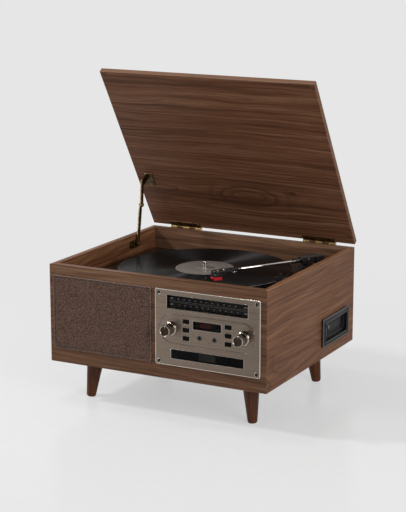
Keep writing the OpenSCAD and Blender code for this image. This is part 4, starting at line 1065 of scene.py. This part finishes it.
class MUSICCENTRE_OT_panel(Operator):
    """Makes the metal panel with its marks, windows, screws and sockets"""
    bl_idname = "musiccentre.panel"
    bl_label = "Control Panel"

    def execute(self, context):
        sizes = context.scene.centre_panel
        plate_metal = brushed("Champagne metal", (132, 118, 106), "xzy", 0.27, 0.66)
        bright = metal("Bright cut edge", (214, 204, 194), 0.2)
        # painted shade: the groove around the oval gets a dark metal floor that stands for the shade inside
        # the groove
        groove = metal("Groove painted shade", (58, 51, 46), 0.5)
        screw_places = [(x, y) for x in (-87.5, 87.5) for y in (5.8, 119.5)]
        openings = [rounded(*DIAL_WINDOW), rounded(*TRAY_WINDOW)]
        openings += [ring(x, y, 3.45, 32) for x, y in screw_places]
        inner = [rounded(*DISPLAY_WINDOW)]
        inner += [rounded(x, y, 12.6, 7.6, 0.6) for x in BUTTON_X for y in BUTTON_Y]
        inner += [ring(x, KNOB_Y, 3.1, 32) for x in (-KNOB_X, KNOB_X)]
        inner += [ring(x, SOCKET_Y, 3.7, 32) for x in SOCKET_X]
        shapes = [
            (0, PANEL, plate(rounded(0, 63, 186.6, 124.6, 2.2), openings + [oval(173, 49.6, 24.79)], 3,
                             sizes.bevel, 3)),
            (0, PANEL, plate(oval(171.8, 48.4, 24.19), inner, 3, 0.3, 3)),
            (2, PANEL, plate(oval(174, 50.6, 25.29), [oval(171.0, 47.6, 23.7)], 1.6, 0.05, 2.4)),
            (1, PANEL, plate(rounded(0, 63, 188, 126, 2.5), [rounded(0, 63, 185.2, 123.2, 1.9)], 2.8, 1.1,
                             3.0)),
            (1, PANEL, plate(oval(173.2, 49.8, 24.89), [oval(172.7, 49.3, 24.6)], 0.5, 0.1, 3.1)),
        ]
        countersink = [(3.5, 2.9), (3.25, 2.98), (3.1, 2.9), (1.75, 1.4), (1.7, 0.2)]
        shapes += [(1, PANEL, shifted(lathe(countersink, 40), x, y)) for x, y in screw_places]
        piece("panel_plate", "cabinet", [plate_metal, bright, groove], shapes,
              ["control_faceplate"])
        self.cut_edges(bright)

        dress("faceplate_screws", dark_screw(), None, 0.12)
        dress("fascia_windows", smoked("Smoked window", (176, 175, 176)), None, 0.2)
        dress("jack_sockets", moulded("Socket black", (16, 16, 16), 0.4), None, 0)
        # painted light: the dial's black is paler than its own tone, to make up for the lamplight the smoked
        # window holds back
        dress("dial_scale", moulded("Dial black", (46, 44, 42), 0.6, Specular_IOR_Level=0.2), None, 0)
        dress("dial_pointer", moulded("Pointer red", (60, 16, 12), 0.5), None, 0.1)
        dress("control_board", circuit_green(), None, 0)
        dress(" ".join(f"function_button_{i}" for i in range(1, 7)), gloss_black(), None, 0.5)
        self.marks(sizes)
        self.display(sizes)
        return {"FINISHED"}

    def cut_edges(self, bright):
        """Bright edges about the windows and buttons, rings about the sockets, and black linings."""
        frames = []
        for window in (DIAL_WINDOW, DISPLAY_WINDOW, TRAY_WINDOW):
            radius = window[4]
            frames.append((0, PANEL, framed(window, (0.7, radius + 0.35), (-0.3, radius), 1.6, 0.22, 3.12)))
        for x in BUTTON_X:
            for y in BUTTON_Y:
                frames.append((0, PANEL, framed((x, y, 12.5, 7.5), (0.7, 0.9), (0, 0.6), 1.0, 0.16, 3.08)))
        collar = [(4.1, 2.9), (4.0, 3.15), (3.7, 3.25), (3.4, 3.25), (3.2, 3.1), (3.1, 2.0)]
        frames += [(1, PANEL, shifted(lathe(collar, 40), x, SOCKET_Y)) for x in SOCKET_X]
        socket = moulded("Socket ring", (46, 41, 37), 0.4, Specular_IOR_Level=0.2)
        piece("panel_cut_edges", "cabinet", [bright, socket], frames)
        # black linings hide the cut edges behind the flush windows
        linings = []
        for window in (DIAL_WINDOW, DISPLAY_WINDOW):
            radius = window[4]
            linings.append((0, PANEL, framed(window, (-0.04, radius), (-0.54, radius - 0.2), 6.0, 0.05,
                                             2.7)))
        piece("window_linings", "cabinet", [display_black()], linings)

    def marks(self, sizes):
        """Numbers and lines on the dial, and the words printed on the panel."""
        dial = facing_front(PANEL_MIDDLE, 3.58, PANEL_LOW)
        size = sizes.figure
        shapes = []
        for words, x, y in (("FM", -66.5, 110.4), ("MHz", 65.5, 110.4), ("AM", -66.5, 100.8),
                            ("kHz", 65.5, 100.8)):
            shapes.append((0, dial, lettering(words, size * 1.1, x, y, 0)))
        scales = ((range(88, 110, 2), -55, 10.2, 110.4),
                  ((53, 60, 70, 80, 90, 100, 110, 120, 140, 160, 170), -53, 10.4, 100.8))
        for numbers, start, step, y in scales:
            for i, number in enumerate(numbers):
                shapes.append((0, dial, lettering(str(number), size * 0.72, start + i * step, y, 0)))
        # the dial's numbers and lines glow: partly the dial's own backlight, partly painted light that makes
        # up for the lamplight the smoked window holds back
        piece("dial_numbers", "cabinet", [printed("Dial print", (214, 208, 196), 0.8)],
              shapes)
        lines = [((-70, y), (70, y + 0.45)) for y in (104.3, 106.6)]
        ink = printed("Dial line", (140, 136, 128), 0.4)
        piece("dial_lines", "cabinet", [ink], [(0, dial, bars(lines, -0.02, 0.02))])
        left, right = BUTTON_X
        above_button = (82.2, 68.3, 54.5)
        words = [("VOLUME", -KNOB_X, 77.6), ("TUNING", KNOB_X, 77.6)]
        words += [(word, left, y) for word, y in zip(("POWER", "BAND", "MODE"), above_button)]
        words += [("AUX", -5.2, SOCKET_Y), ("PHONES", 4.6, 46.6)]
        shapes = [(0, PANEL, lettering(word, sizes.letter, x, y, 3.02)) for word, x, y in words]
        # signs for play, stop and back over the right buttons
        signs = [
            (right, above_button[0], [(-1.0, -0.8), (0.8, 0), (-1.0, 0.8)]),
            (right, above_button[1], [(-0.8, -0.8), (0.8, -0.8), (0.8, 0.8), (-0.8, 0.8)]),
            (right - 0.8, above_button[2], [(-0.2, 0), (1.2, -0.8), (1.2, 0.8)]),
            (right - 1.1, above_button[2], [(-1.0, 0), (0.3, -0.8), (0.3, 0.8)]),
        ]
        for x, y, outline in signs:
            shapes.append((0, PANEL, plate([(x + a, y + b) for a, b in outline], (), 0.06, 0.01, 3.05)))
        piece("panel_print", "cabinet", [printed("Panel print", (38, 34, 32))], shapes)

    def display(self, sizes):
        """Four dim figures of seven bars each, behind the display window."""
        face = facing_front(PANEL_MIDDLE, 0.38, PANEL_LOW)
        # the seven bars of a figure: the two upright columns and the three level ones
        bar_of = {"a": ((-1.6, 5.3), (1.6, 6.1)), "g": ((-1.6, 2.4), (1.6, 3.2)),
                  "d": ((-1.6, -0.5), (1.6, 0.3))}
        for upper, lower, left in (("b", "c", 1.7), ("f", "e", -2.5)):
            bar_of[upper] = ((left, 2.9), (left + 0.8, 5.6))
            bar_of[lower] = ((left, 0.0), (left + 0.8, 2.6))
        lit = dict(zip("0123456789", ("abcdef", "bc", "abged", "abgcd", "fgbc", "afgcd", "afgedc", "abc",
                                      "abcdefg", "abcdfg")))
        on, off = [], []
        for i, figure in enumerate(sizes.display):
            x, y = -11.5 + i * 4.9, 69.7
            for name, corners in bar_of.items():
                bar = tuple((a * FIGURE_WIDTH + x, b + y) for a, b in corners)
                (on if name in lit.get(figure, "g") else off).append(bar)
        red = printed("Display red", (138, 22, 12), 0.3)
        piece("display_figures", "cabinet", [red], [(0, face, bars(on, -0.02, 0.05))])
        x, y = DISPLAY_WINDOW[:2]
        back = plate(rounded(x, y, 52, 15.2, 0.5), (), 0.1, 0.02, -0.37)
        piece("display_face", "cabinet", [display_black()], [(0, PANEL, back)])
        if off:
            dim = printed("Display unlit", (34, 16, 15))
            piece("display_figures_unlit", "cabinet", [dim],
                  [(0, face, bars(off, -0.02, 0.03))])


class MUSICCENTRE_OT_knobs(Operator):
    """Turns the two polished knobs"""
    bl_idname = "musiccentre.knobs"
    bl_label = "Knobs"

    def execute(self, context):
        base = [
            (3.0, -4), (3.0, 0.35), (11.0, 0.35), (11.4, 0.6), (11.5, 1.0), (11.5, 2.9), (11.3, 3.5),
            (10.8, 3.95), (10.2, 4.1), (9.9, 4.15), (9.75, 4.6),
        ]
        grip = [(9.75, 4.6), (9.5, 5.0), (9.4, 6.0), (9.3, 13.0), (9.3, 15.2), (9.1, 15.6), (9.1, 16.2),
                (9.4, 16.6)]
        crown = [
            (9.4, 16.6), (9.5, 17.2), (9.5, 20.4), (9.35, 21.2), (8.95, 21.8), (8.4, 22.0), (7.9, 21.9),
            (7.6, 21.5), (7.5, 20.6),
        ]
        cap = [(7.5, 20.6), (7.2, 20.4), (3.0, 20.2), (0, 20.15)]
        line = bars([((-0.25, 4.4), (0.25, 7.1))], 20.3, 20.5)
        ink = printed("Knob line", (210, 204, 196))
        for body, x in (("volume", -KNOB_X), ("tuning", KNOB_X)):
            spot = facing_front(PANEL_MIDDLE + x, -3, PANEL_LOW + KNOB_Y)
            dark = turned("Knob cap " + body, (62, 51, 43), spot.translation, (1, 0, 1), 0.55, 0.2, 0.02,
                          rays="Y")
            profiles = ((0, base), (0, grip), (0, crown), (1, cap))
            shapes = [(kind, spot, lathe(profile, 96)) for kind, profile in profiles]
            shapes.append((2, spot, line))
            piece(body + "_knob_turned", body, [warm_nickel(), dark, ink], shapes,
                  [body + "_knob"], 25)
        return {"FINISHED"}


class MUSICCENTRE_OT_tray(Operator):
    """Makes the front of the disc tray"""
    bl_idname = "musiccentre.tray"
    bl_label = "Disc Tray"

    def execute(self, context):
        gloss = gloss_black()
        satin = moulded("Tray satin", (25, 26, 23), 0.4, 0.05, Specular_IOR_Level=0.1)
        dress("cd_tray", gloss, None, 0.3)
        shapes = [
            (0, PANEL, plate(rounded(0, 20.2, 129.7, 15.0, 0.6), (), 0.5, 0.2, 2.75)),
            (1, PANEL, plate(rounded(0, 20.4, 30, 11.5, 1.2), (), 0.4, 0.15, 2.95)),
            (0, PANEL, plate(rounded(0, 14.6, 30, 1.4, 0.6), (), 0.5, 0.2, 2.98)),
        ]
        piece("tray_front", "tray", [gloss, satin], shapes)
        return {"FINISHED"}


class MUSICCENTRE_OT_record_deck(Operator):
    """Makes the deck, platter, pad and spindle"""
    bl_idname = "musiccentre.record_deck"
    bl_label = "Record Deck"

    def execute(self, context):
        dress("deck_plate", moulded("Deck black", (24, 23, 23), 0.24, 0.05, relief=0.02, shine=0.4), None,
              0.3)
        spot = (PLATTER.x, PLATTER.y, 0)
        self.platter(spot)
        top = PLATTER_TOP
        grey = turned("Pad grey", (126, 120, 114), PLATTER_CENTRE, (1, 1, 0), 1.6, 0.5, 0.01, 0.0,
                      Coat_Weight=0.4, Coat_Roughness=0.08)
        # two shallow rings are cut into the pad
        edge = [(50, 0), (50, 0.35), (49.6, 0.6)]
        for ring_out, ring_in in ((45.4, 44.1), (18.2, 16.9)):
            edge += [(ring_out, 0.6), (ring_out - 0.3, 0.48), (ring_in + 0.3, 0.48), (ring_in, 0.6)]
        edge += [(3.3, 0.6), (3.25, 0)]
        pad = lathe([(radius, top + rise) for radius, rise in edge], 128, spot)
        piece("pad_turned", "turntable", [grey], [(0, TOP, pad)], ["centre_pad"], 40)
        foot, radius, dome = top + 0.6, 3.56, 2.5
        neck = foot + 9.4
        pin = [(3.2, DECK_TOP - 10), (3.2, foot - 0.1), (3.5, foot), (radius, foot + 0.3), (radius, neck)]
        for degrees in range(10, 91, 10):
            a = math.radians(degrees)
            pin.append((radius * math.cos(a), neck + dome * math.sin(a)))
        piece("spindle_turned", "turntable", [chrome()], [(0, TOP, lathe(pin, 40, spot))],
              ["spindle"], 50)
        dress("speed_selector cue_lever", moulded("Lever black", (34, 33, 33), 0.42), None, 0.35)
        speeds = (("33", 57.5), ("45", 66), ("78", 74.5))
        shapes = [(0, TOP, lettering(word, 3.2, 362.5, y, DECK_TOP + 0.03)) for word, y in speeds]
        piece("deck_numbers", "cabinet", [printed("Deck print", (176, 172, 166))], shapes)
        return {"FINISHED"}

    def platter(self, spot):
        """The ribbed platter with its belt track below and a polished line on its rim."""
        low, top = DECK_TOP, PLATTER_TOP
        under = top - 3.5
        profile = [
            (3.2, low + 2.3), (12, low + 2.3), (12, under), (96.6, under), (96.6, low + 2.5),
            (99.6, low + 2.5), (99.6, under), (146, under), (146, low + 2), (149.6, low + 2),
            (150, low + 2.4),
        ]
        above = [
            (150, -4.6), (149.7, -4.3), (149.2, -4.1), (149.2, -3.3), (149.7, -3.1), (150, -2.8),
            (149.97, -1.1), (149.7, -0.5), (149.2, -0.12), (148.6, 0), (147.2, -0.02), (146.4, -0.35),
            (145.6, -0.45),
        ]
        # ribs, with a wider gap after the ones near two radii
        radius = 145.0
        while radius > 62:
            above += [(radius, -0.42), (radius - 0.5, -0.36), (radius - 1.5, -0.36), (radius - 2.0, -0.42)]
            at_gap = abs(radius - 118) <= 1.2 or abs(radius - 92) <= 1.2
            radius -= 3.4 if at_gap else 2.1
        above += [(60, -0.3), (54, -0.1), (51.5, 0), (3.2, 0)]
        line = [(149.2, -0.06), (149.75, -0.16), (150, -0.5), (150, -1.1)]
        profile += [(radius, top + rise) for radius, rise in above]
        rim = [(radius, top + rise) for radius, rise in line]
        polished = metal("Rim polish", (150, 146, 142), 0.22, 0.05, relief=0.004)
        shapes = [(0, TOP, lathe(profile, 240, spot)), (1, TOP, lathe(rim, 240, spot))]
        piece("platter_ribbed", "turntable", [record_black(), polished], shapes,
              ["platter"], 50)


class MUSICCENTRE_OT_tonearm(Operator):
    """Makes the tonearm with its headshell"""
    bl_idname = "musiccentre.tonearm"
    bl_label = "Tonearm"

    def execute(self, context):
        plated = chrome()
        satin = moulded("Arm black", (24, 24, 25), 0.3, 0.06, shine=0.25)
        dress("tonearm_base arm_rest", moulded("Base black", (34, 34, 35), 0.26, shine=0.3), None, 0.4)
        dress("tonearm_yoke tonearm_counterweight", satin, None, 0.6)
        sleeve = [(3.6, 10.5), (4.0, 11.2), (4.0, 30.2), (3.6, 31), (2.6, 31.2)]
        tube = [(2.6, 30), (2.7, 31), (2.7, 132.6), (2.5, 133)]
        collar = [(2.4, 132.6), (3.6, 133), (3.8, 133.6), (3.8, 138.2), (3.5, 138.9), (2.4, 139)]
        profiles = ((0, sleeve), (1, tube), (0, collar))
        shapes = [(kind, ARM_AXIS, lathe(profile, 48)) for kind, profile in profiles]
        finishes = [metal("Dark sleeve", (96, 92, 88), 0.3), plated]
        piece("arm_tube_drawn", "arm", finishes, shapes, ["tonearm_tube"], 40)
        # painted reflection: a grey plate on the block's glossy black top stands for the pale studio mirrored
        # in it
        strip = moulded("Block top painted reflection", (58, 58, 58), 0.36, 0.06, shine=0.2)
        block = prism(mirrored([(-27, 8), (-1, 6.4), (11, 6.4)]), 5.0, 5.9, 0.3)
        piece("arm_block_top", "arm", [strip], [(0, ARM, block)])
        self.headshell(plated)
        self.stylus(plated)
        return {"FINISHED"}

    def headshell(self, plated):
        """The shell with its cartridge, top plate, finger lift and two screws."""
        outline = mirrored([(138.9, 4), (150, 8), (184, 8), (186, 6)])
        finger = [(149, 7.6), (155, 7.6), (155, 14.6), (154, 15.6), (150, 15.6), (149, 14.6)]
        shapes = [
            (0, ARM, prism(outline, -2.5, 2, 0.8)),
            (0, ARM, slab((162, -6.2, -8), (187, 6.2, -2.4), 0.5)),
            (0, ARM, prism(mirrored([(142, 3.4), (151, 5.6), (160, 5.6)]), 1.9, 2.6, 0.3)),
            (1, ARM, prism(finger, -2.2, -1.2, 0.4)),
            (1, ARM, slab((149.4, 13.4, -2.4), (154.6, 15.8, 0.6), 0.4)),
        ]
        heads = screws(ARM, [(165, 0), (177, 0)], 2.0, 0.9, 2.0)
        shapes += [(kind + 1, ARM, head) for kind, _, head in heads]
        shell = moulded("Head black", (18, 18, 19), 0.28, 0.05, shine=0.3)
        piece("headshell_formed", "arm", [shell, plated, screw_recess()], shapes,
              ["headshell"])

    def stylus(self, plated):
        """The stylus guard, drawn from its side, and its tip."""
        red = moulded("Stylus red", (196, 34, 42), 0.3, 0.05, shine=0.3, Subsurface_Weight=0.1)
        nose = [(171, -8), (188, -8), (188, -10.6), (184, -14.2), (173, -14.2), (171, -12)]
        guard = facing(ARM_ALONG, (0, 0, 1), (-ARM_SIDE[0], -ARM_SIDE[1], 0), ARM_PIVOT)
        tip = lathe([(0.9, -14.2), (0.5, -15.0), (0.3, -15.5), (0, -15.5)], 16, (185, 0, 0))
        shapes = [(0, guard, plate(nose, (), 9, 0.5, 4.5)), (1, ARM, tip)]
        piece("stylus_formed", "arm", [red, plated], shapes, ["stylus"])


class MUSICCENTRE_OT_cassette(Operator):
    """Makes the stepped surround, flap and button of the cassette slot"""
    bl_idname = "musiccentre.cassette"
    bl_label = "Cassette Slot"

    def execute(self, context):
        black = moulded("Surround black", (24, 25, 26), 0.36, 0.06, relief=0.03, Specular_IOR_Level=0.3)
        textured = moulded("Textured strip", (16, 17, 18), 0.5, 0.08, grain=1400.0, relief=0.25,
                           Specular_IOR_Level=0.3)
        # painted highlight: the grey rim of the surround and the collar around the button stand for light
        # caught on their edges
        rim = moulded("Surround rim painted highlight", (72, 74, 76), 0.26, 0.05, relief=0.01, shine=0.2)
        y, z, width, height = TUB
        step = plate(rounded(*SURROUND[:2], 105, 44.5, 1.6), [rounded(y, z, 94.0, 36, 2.0)], 2.6, 0.2, 2.6)
        shapes = [
            (0, SIDE, framed(SURROUND, (-0.4, 2.5), (-5, 1.6), 3.8, 0.5, 3.8)),
            (2, SIDE, framed(SURROUND, (0, 2.6), (-1.6, 2.0), 1.6, 0.5, 4)),
            (1, SIDE, step),
            (0, SIDE, framed(TUB, (5.5, 2.2), (0, 1.2), 3.5, 0.6, 3.5)),
            (0, SIDE, framed(TUB, (4.4, 2.0), (2.8, 1.6), 1.0, 0.4, 3.75)),
        ]
        # the tub's four walls
        y0, y1, z0, z1 = y - width / 2, y + width / 2, z - height / 2, z + height / 2
        thick = 2
        walls = (
            (y0 - thick, z0 - thick, y1 + thick, z0), (y0 - thick, z1, y1 + thick, z1 + thick),
            (y0 - thick, z0 - thick, y0, z1 + thick), (y1, z0 - thick, y1 + thick, z1 + thick),
        )
        for a, b, c, d in walls:
            shapes.append((0, SIDE, slab((a, b, TUB_BACK - 2), (c, d, 2), 0.1)))
        holes = [rounded(*FLAP_HOLE, 0.8), ring(*EJECT, 3.8, 32)]
        collar = [(5.4, 0), (5.3, 0.7), (4.9, 1.1), (4.3, 1.1), (3.9, 0.6), (3.85, 0)]
        collar = lathe([(radius, TUB_BACK + rise) for radius, rise in collar], 40)
        shapes += [
            (0, SIDE, plate(rounded(y, z, 94, 36, 1), holes, 2, 0.25, TUB_BACK)),
            (0, SIDE, framed(FLAP_HOLE, (3.4, 1.6), (0.4, 0.8), 1.2, 0.5, TUB_BACK + 0.9)),
            (2, SIDE, shifted(collar, *EJECT)),
        ]
        piece("cassette_surround", "cabinet", [black, textured, rim], shapes,
              ["cassette_frame"])
        grey = moulded("Flap grey", (15, 15, 15), 0.4, 0.05, relief=0.02, Specular_IOR_Level=0.1)
        dark = moulded("Flap painted shade", (6, 6, 7), 0.5, Specular_IOR_Level=0.1)
        dress("cassette_flap", grey, None, 0.3)
        # painted shade: the two near-black strips, below the flap and at its right end, stand for the shade
        # in the gap under the flap and in its finger recess
        shapes = [
            (0, SIDE, plate(rounded(275.5, 46.4, 53, 12.4, 1.0), (), 0.7, 0.25, TUB_BACK + 0.3)),
            (1, SIDE, plate(rounded(275.5, 37, 53, 4.6, 0.6), (), 0.3, 0.1, TUB_BACK + 0.02)),
            (1, SIDE, plate(rounded(307.2, 43.6, 8.4, 18, 0.8), (), 0.3, 0.1, TUB_BACK + 0.04)),
        ]
        piece("flap_face", "flap", [grey, dark], shapes)
        cap = lathe([(3.5, -7), (3.5, 1.1), (3.35, 1.7), (2.9, 2.0), (2.3, 2.0), (1.9, 1.75), (0, 1.6)], 40)
        grey = moulded("Button grey", (66, 67, 69), 0.3, shine=0.2)
        piece("eject_button_turned", "eject", [grey], [(0, SIDE, shifted(cap, *EJECT))],
              ["cassette_button"])
        return {"FINISHED"}


class MUSICCENTRE_OT_rear(Operator):
    """Makes the details of the rear sockets"""
    bl_idname = "musiccentre.rear"
    bl_label = "Rear Sockets"

    def execute(self, context):
        dress("rear_terminal_plate", terminal_black(), None, 0.3)
        red = moulded("Ring red", (150, 28, 26), 0.35)
        white = moulded("Ring white", (205, 200, 190), 0.35)
        middle = 50
        sleeve = [(6.2, 2), (6.2, 2.9), (5.9, 3.2), (4.2, 3.2), (4.2, 9.1), (4.0, 9.4), (3.6, 9.4),
                  (3.5, 9.1)]
        insert = [(3.55, 8.9), (3.4, 9.52), (1.9, 9.55), (1.65, 9.2), (1.6, 4)]
        shapes = []
        for kind, x in ((1, 90), (2, 108)):
            shapes.append((0, BACK, shifted(lathe(sleeve, 48), -x, middle)))
            shapes.append((kind, BACK, shifted(lathe(insert, 40), -x, middle)))
        piece("line_sockets", "cabinet", [warm_nickel(), red, white], shapes)
        gland = lathe([(6.8, 2), (6.8, 5.4), (6.5, 6.6), (5.6, 7.0), (4.0, 7.05), (3.6, 6.7), (3.5, 5)], 48)
        piece("cord_gland_ring", "cabinet", [terminal_black()],
              [(0, BACK, shifted(gland, -140, middle))])
        words = (("R", 3.4, 90, 60), ("L", 3.4, 108, 60), ("LINE OUT", 3.0, 99, 38))
        shapes = [(0, BACK, lettering(word, size, -x, z, 2.03)) for word, size, x, z in words]
        piece("rear_print", "cabinet", [printed("Rear print", (190, 186, 180))], shapes)
        corners = [(-x, z) for x in (73, 157) for z in (33, 67)]
        heads = screws(BACK, corners, 2.0, 0.8, 2.0)
        piece("terminal_screws", "cabinet", [dark_screw(), screw_recess()], heads)
        return {"FINISHED"}


class MUSICCENTRE_OT_inside(Operator):
    """Dresses the drivers, boards, motor and mechanisms inside the cabinet"""
    bl_idname = "musiccentre.inside"
    bl_label = "Inner Parts"

    def execute(self, context):
        dress("speaker_drivers", moulded("Driver black", (30, 29, 28), 0.6, relief=0.1), None, 0)
        zinc = metal("Zinc steel", (150, 151, 154), 0.36, tarnish=(110, 112, 116), amount=0.5, scale=25.0)
        dress("cd_mechanism cassette_mechanism motor power_supply", zinc, None, 0)
        dress("main_board", circuit_green(), None, 0)
        dress("bearing_bush motor_pulley", metal("Turned brass", (190, 158, 92), 0.22, 0.06), None, 0)
        dress("drive_belt", moulded("Belt rubber", (22, 21, 21), 0.6), None, 0)
        return {"FINISHED"}


class MUSICCENTRE_OT_stage(Operator):
    """Sets up the floor, lamps, surround and camera"""
    bl_idname = "musiccentre.stage"
    bl_label = "Studio"

    def execute(self, context):
        settings = context.scene.centre_studio
        pale = tone(230, 230, 230)
        self.floor(pale)
        self.surroundings(pale, settings.surround)
        self.lamp("key_lamp", (-2.2, -1.0, 2.0), (0, 0, 0.2), 0.35, settings.key_power)
        self.lamp("right_fill", (2.3, -1.2, 1.0), (0.1, 0, 0.2), 1.4, settings.fill_power)
        self.lamp("front_fill", (-1.5, -2.5, 0.5), (0, 0, 0.25), 0.5, 6.0)
        self.lamp("top_lamp", (-0.6, -0.1, 2.6), (0, 0, 0.2), 0.3, 9.0)
        self.camera(settings)
        context.scene.view_settings.view_transform = "Standard"
        return {"FINISHED"}

    def floor(self, pale):
        """A level floor that curves up into a backdrop, in metres."""
        half_size, curve_start, curve = 9, 4.0, 0.12
        work = bmesh.new()
        bmesh.ops.create_grid(work, x_segments=24, y_segments=24, size=half_size)
        for vert in work.verts:
            past = max(0.0, vert.co.y - curve_start)
            vert.co.z = past * past * curve
        mesh = bpy.data.meshes.new("studio_floor")
        work.to_mesh(mesh)
        work.free()
        for polygon in mesh.polygons:
            polygon.use_smooth = True
        floor = bpy.data.objects.new("studio_floor", mesh)
        bpy.context.scene.collection.objects.link(floor)
        mesh.materials.append(self.floor_finish(pale))

    def surroundings(self, pale, strength):
        """Soft light from all round; glossy pieces mirror a pale backdrop behind and a dim room in front."""
        world = bpy.data.worlds.new("Studio")
        bpy.context.scene.world = world
        world.use_nodes = True
        world.node_tree.nodes.clear()
        w = Wiring(world.node_tree)
        path = w.add("ShaderNodeLightPath").outputs
        backdrop = w.math("MAXIMUM", path["Is Camera Ray"], path["Is Transmission Ray"])
        soft = w.add("ShaderNodeBackground", {"Color": (1, 1, 1, 1), "Strength": strength})
        shown = w.add("ShaderNodeBackground", {"Color": pale, "Strength": 1.0})
        direction = w.parts(w.add("ShaderNodeTexCoord").outputs["Generated"])
        ahead, sideways = direction["Y"], direction["X"]
        # a pale strip stands on each side of the room
        right_strip = w.times(w.span(sideways, 0.5, 0.54), w.span(sideways, 0.78, 0.74))
        left_strip = w.times(w.span(sideways, -0.66, -0.7), w.span(sideways, -0.9, -0.86))
        dim_to_pale = w.mix(w.span(ahead, -0.35, 0.2), tone(58, 56, 54), pale)
        room = w.mix(w.plus(right_strip, left_strip), dim_to_pale, pale)
        mirrored = w.add("ShaderNodeBackground", {"Color": room, "Strength": 1.0})
        one = w.add("ShaderNodeMixShader",
                    {0: path["Is Glossy Ray"], 1: soft.outputs[0], 2: mirrored.outputs[0]})
        both = w.add("ShaderNodeMixShader", {0: backdrop, 1: one.outputs[0], 2: shown.outputs[0]})
        w.add("ShaderNodeOutputWorld", {"Surface": both.outputs[0]})

    def camera(self, settings):
        """The camera that was fitted to the photograph."""
        camera = bpy.data.cameras.new("photo_camera")
        camera.lens = settings.lens
        camera.sensor_width = 36.0
        camera.sensor_fit = "AUTO"
        holder = bpy.data.objects.new("photo_camera", camera)
        bpy.context.scene.collection.objects.link(holder)
        yaw, pitch = settings.camera_yaw, settings.camera_pitch
        ahead = Vector((math.sin(yaw) * math.cos(pitch), math.cos(yaw) * math.cos(pitch), math.sin(pitch)))
        holder.location = settings.camera_place
        holder.rotation_euler = ahead.to_track_quat("-Z", "Y").to_euler()
        bpy.context.scene.camera = holder

    def lamp(self, name, place, target, size, power):
        """A round lamp turned to its target, which the camera doesn't see."""
        data = bpy.data.lights.new(name, "AREA")
        data.shape = "DISK"
        data.size = size
        data.energy = power
        lamp = bpy.data.objects.new(name, data)
        bpy.context.scene.collection.objects.link(lamp)
        lamp.location = place
        lamp.visible_camera = False
        lamp.rotation_euler = (Vector(target) - Vector(place)).to_track_quat("-Z", "Y").to_euler()

    def floor_finish(self, pale):
        """A pale, slightly glossy floor that fades into the backdrop."""
        made = bpy.data.materials.new("Pale floor")
        made.use_nodes = True
        tree = made.node_tree
        tree.nodes.clear()
        w = Wiring(tree)
        place = w.coordinates()
        specks = w.drawn_out(place, (40, 40, 40), 3)
        shade = w.mix(w.span(specks, 0.3, 0.7), tone(236, 236, 236), tone(240, 240, 240))
        path = w.add("ShaderNodeLightPath").outputs
        mirrored_or_through = w.math("MAXIMUM", path["Is Glossy Ray"], path["Is Transmission Ray"])
        seen = w.math("MAXIMUM", path["Is Camera Ray"], mirrored_or_through)
        # the floor throws back less light than it shows, so the object darkens towards its foot
        shade = w.mix(seen, tone(150, 150, 150), shade)
        shader = w.add("ShaderNodeBsdfPrincipled",
                       {"Base Color": shade, "Roughness": 0.2, "Specular IOR Level": 0.35})
        plain = w.add("ShaderNodeEmission", {"Color": pale, "Strength": 1.0})
        away = w.vector("LENGTH", w.vector("MULTIPLY", place, (1, 1, 0)))
        far = w.times(w.span(away, 0.4, 1.0, 0.62, 1.0), seen)
        both = w.add("ShaderNodeMixShader", {0: far, 1: shader.outputs[0], 2: plain.outputs[0]})
        w.add("ShaderNodeOutputMaterial", {"Surface": both.outputs[0]})
        return made


class MUSICCENTRE_PT_sidebar(Panel):
    """Lists the sizes, colours and steps of the music centre"""
    bl_idname = "MUSICCENTRE_PT_sidebar"
    bl_label = "Music Centre"
    bl_space_type = "VIEW_3D"
    bl_region_type = "UI"
    bl_category = "Music Centre"

    def draw(self, context):
        layout = self.layout
        for title, group in (("Finish", context.scene.centre_finish), ("Panel", context.scene.centre_panel),
                             ("Studio", context.scene.centre_studio)):
            box = layout.box()
            box.label(text=title)
            for name in group.__annotations__:
                box.prop(group, name)
        for step in STEPS:
            layout.operator(step.bl_idname)


GROUPS = (MusicCentreFinish, MusicCentrePanel, MusicCentreStudio)
STEPS = (
    MUSICCENTRE_OT_stage, MUSICCENTRE_OT_cabinet, MUSICCENTRE_OT_lid, MUSICCENTRE_OT_grille,
    MUSICCENTRE_OT_panel, MUSICCENTRE_OT_knobs, MUSICCENTRE_OT_tray, MUSICCENTRE_OT_record_deck,
    MUSICCENTRE_OT_tonearm, MUSICCENTRE_OT_cassette, MUSICCENTRE_OT_rear, MUSICCENTRE_OT_inside,
)
CLASSES = (*GROUPS, *STEPS, MUSICCENTRE_PT_sidebar)


def register():
    for item in CLASSES:
        bpy.utils.register_class(item)
    bpy.types.Scene.centre_finish = PointerProperty(type=MusicCentreFinish)
    bpy.types.Scene.centre_panel = PointerProperty(type=MusicCentrePanel)
    bpy.types.Scene.centre_studio = PointerProperty(type=MusicCentreStudio)


def unregister():
    del bpy.types.Scene.centre_finish, bpy.types.Scene.centre_panel, bpy.types.Scene.centre_studio
    for item in reversed(CLASSES):
        bpy.utils.unregister_class(item)


def main():
    register()
    for step in STEPS:
        group, name = step.bl_idname.split(".")
        getattr(getattr(bpy.ops, group), name)()


if __name__ == "__main__":
    main()
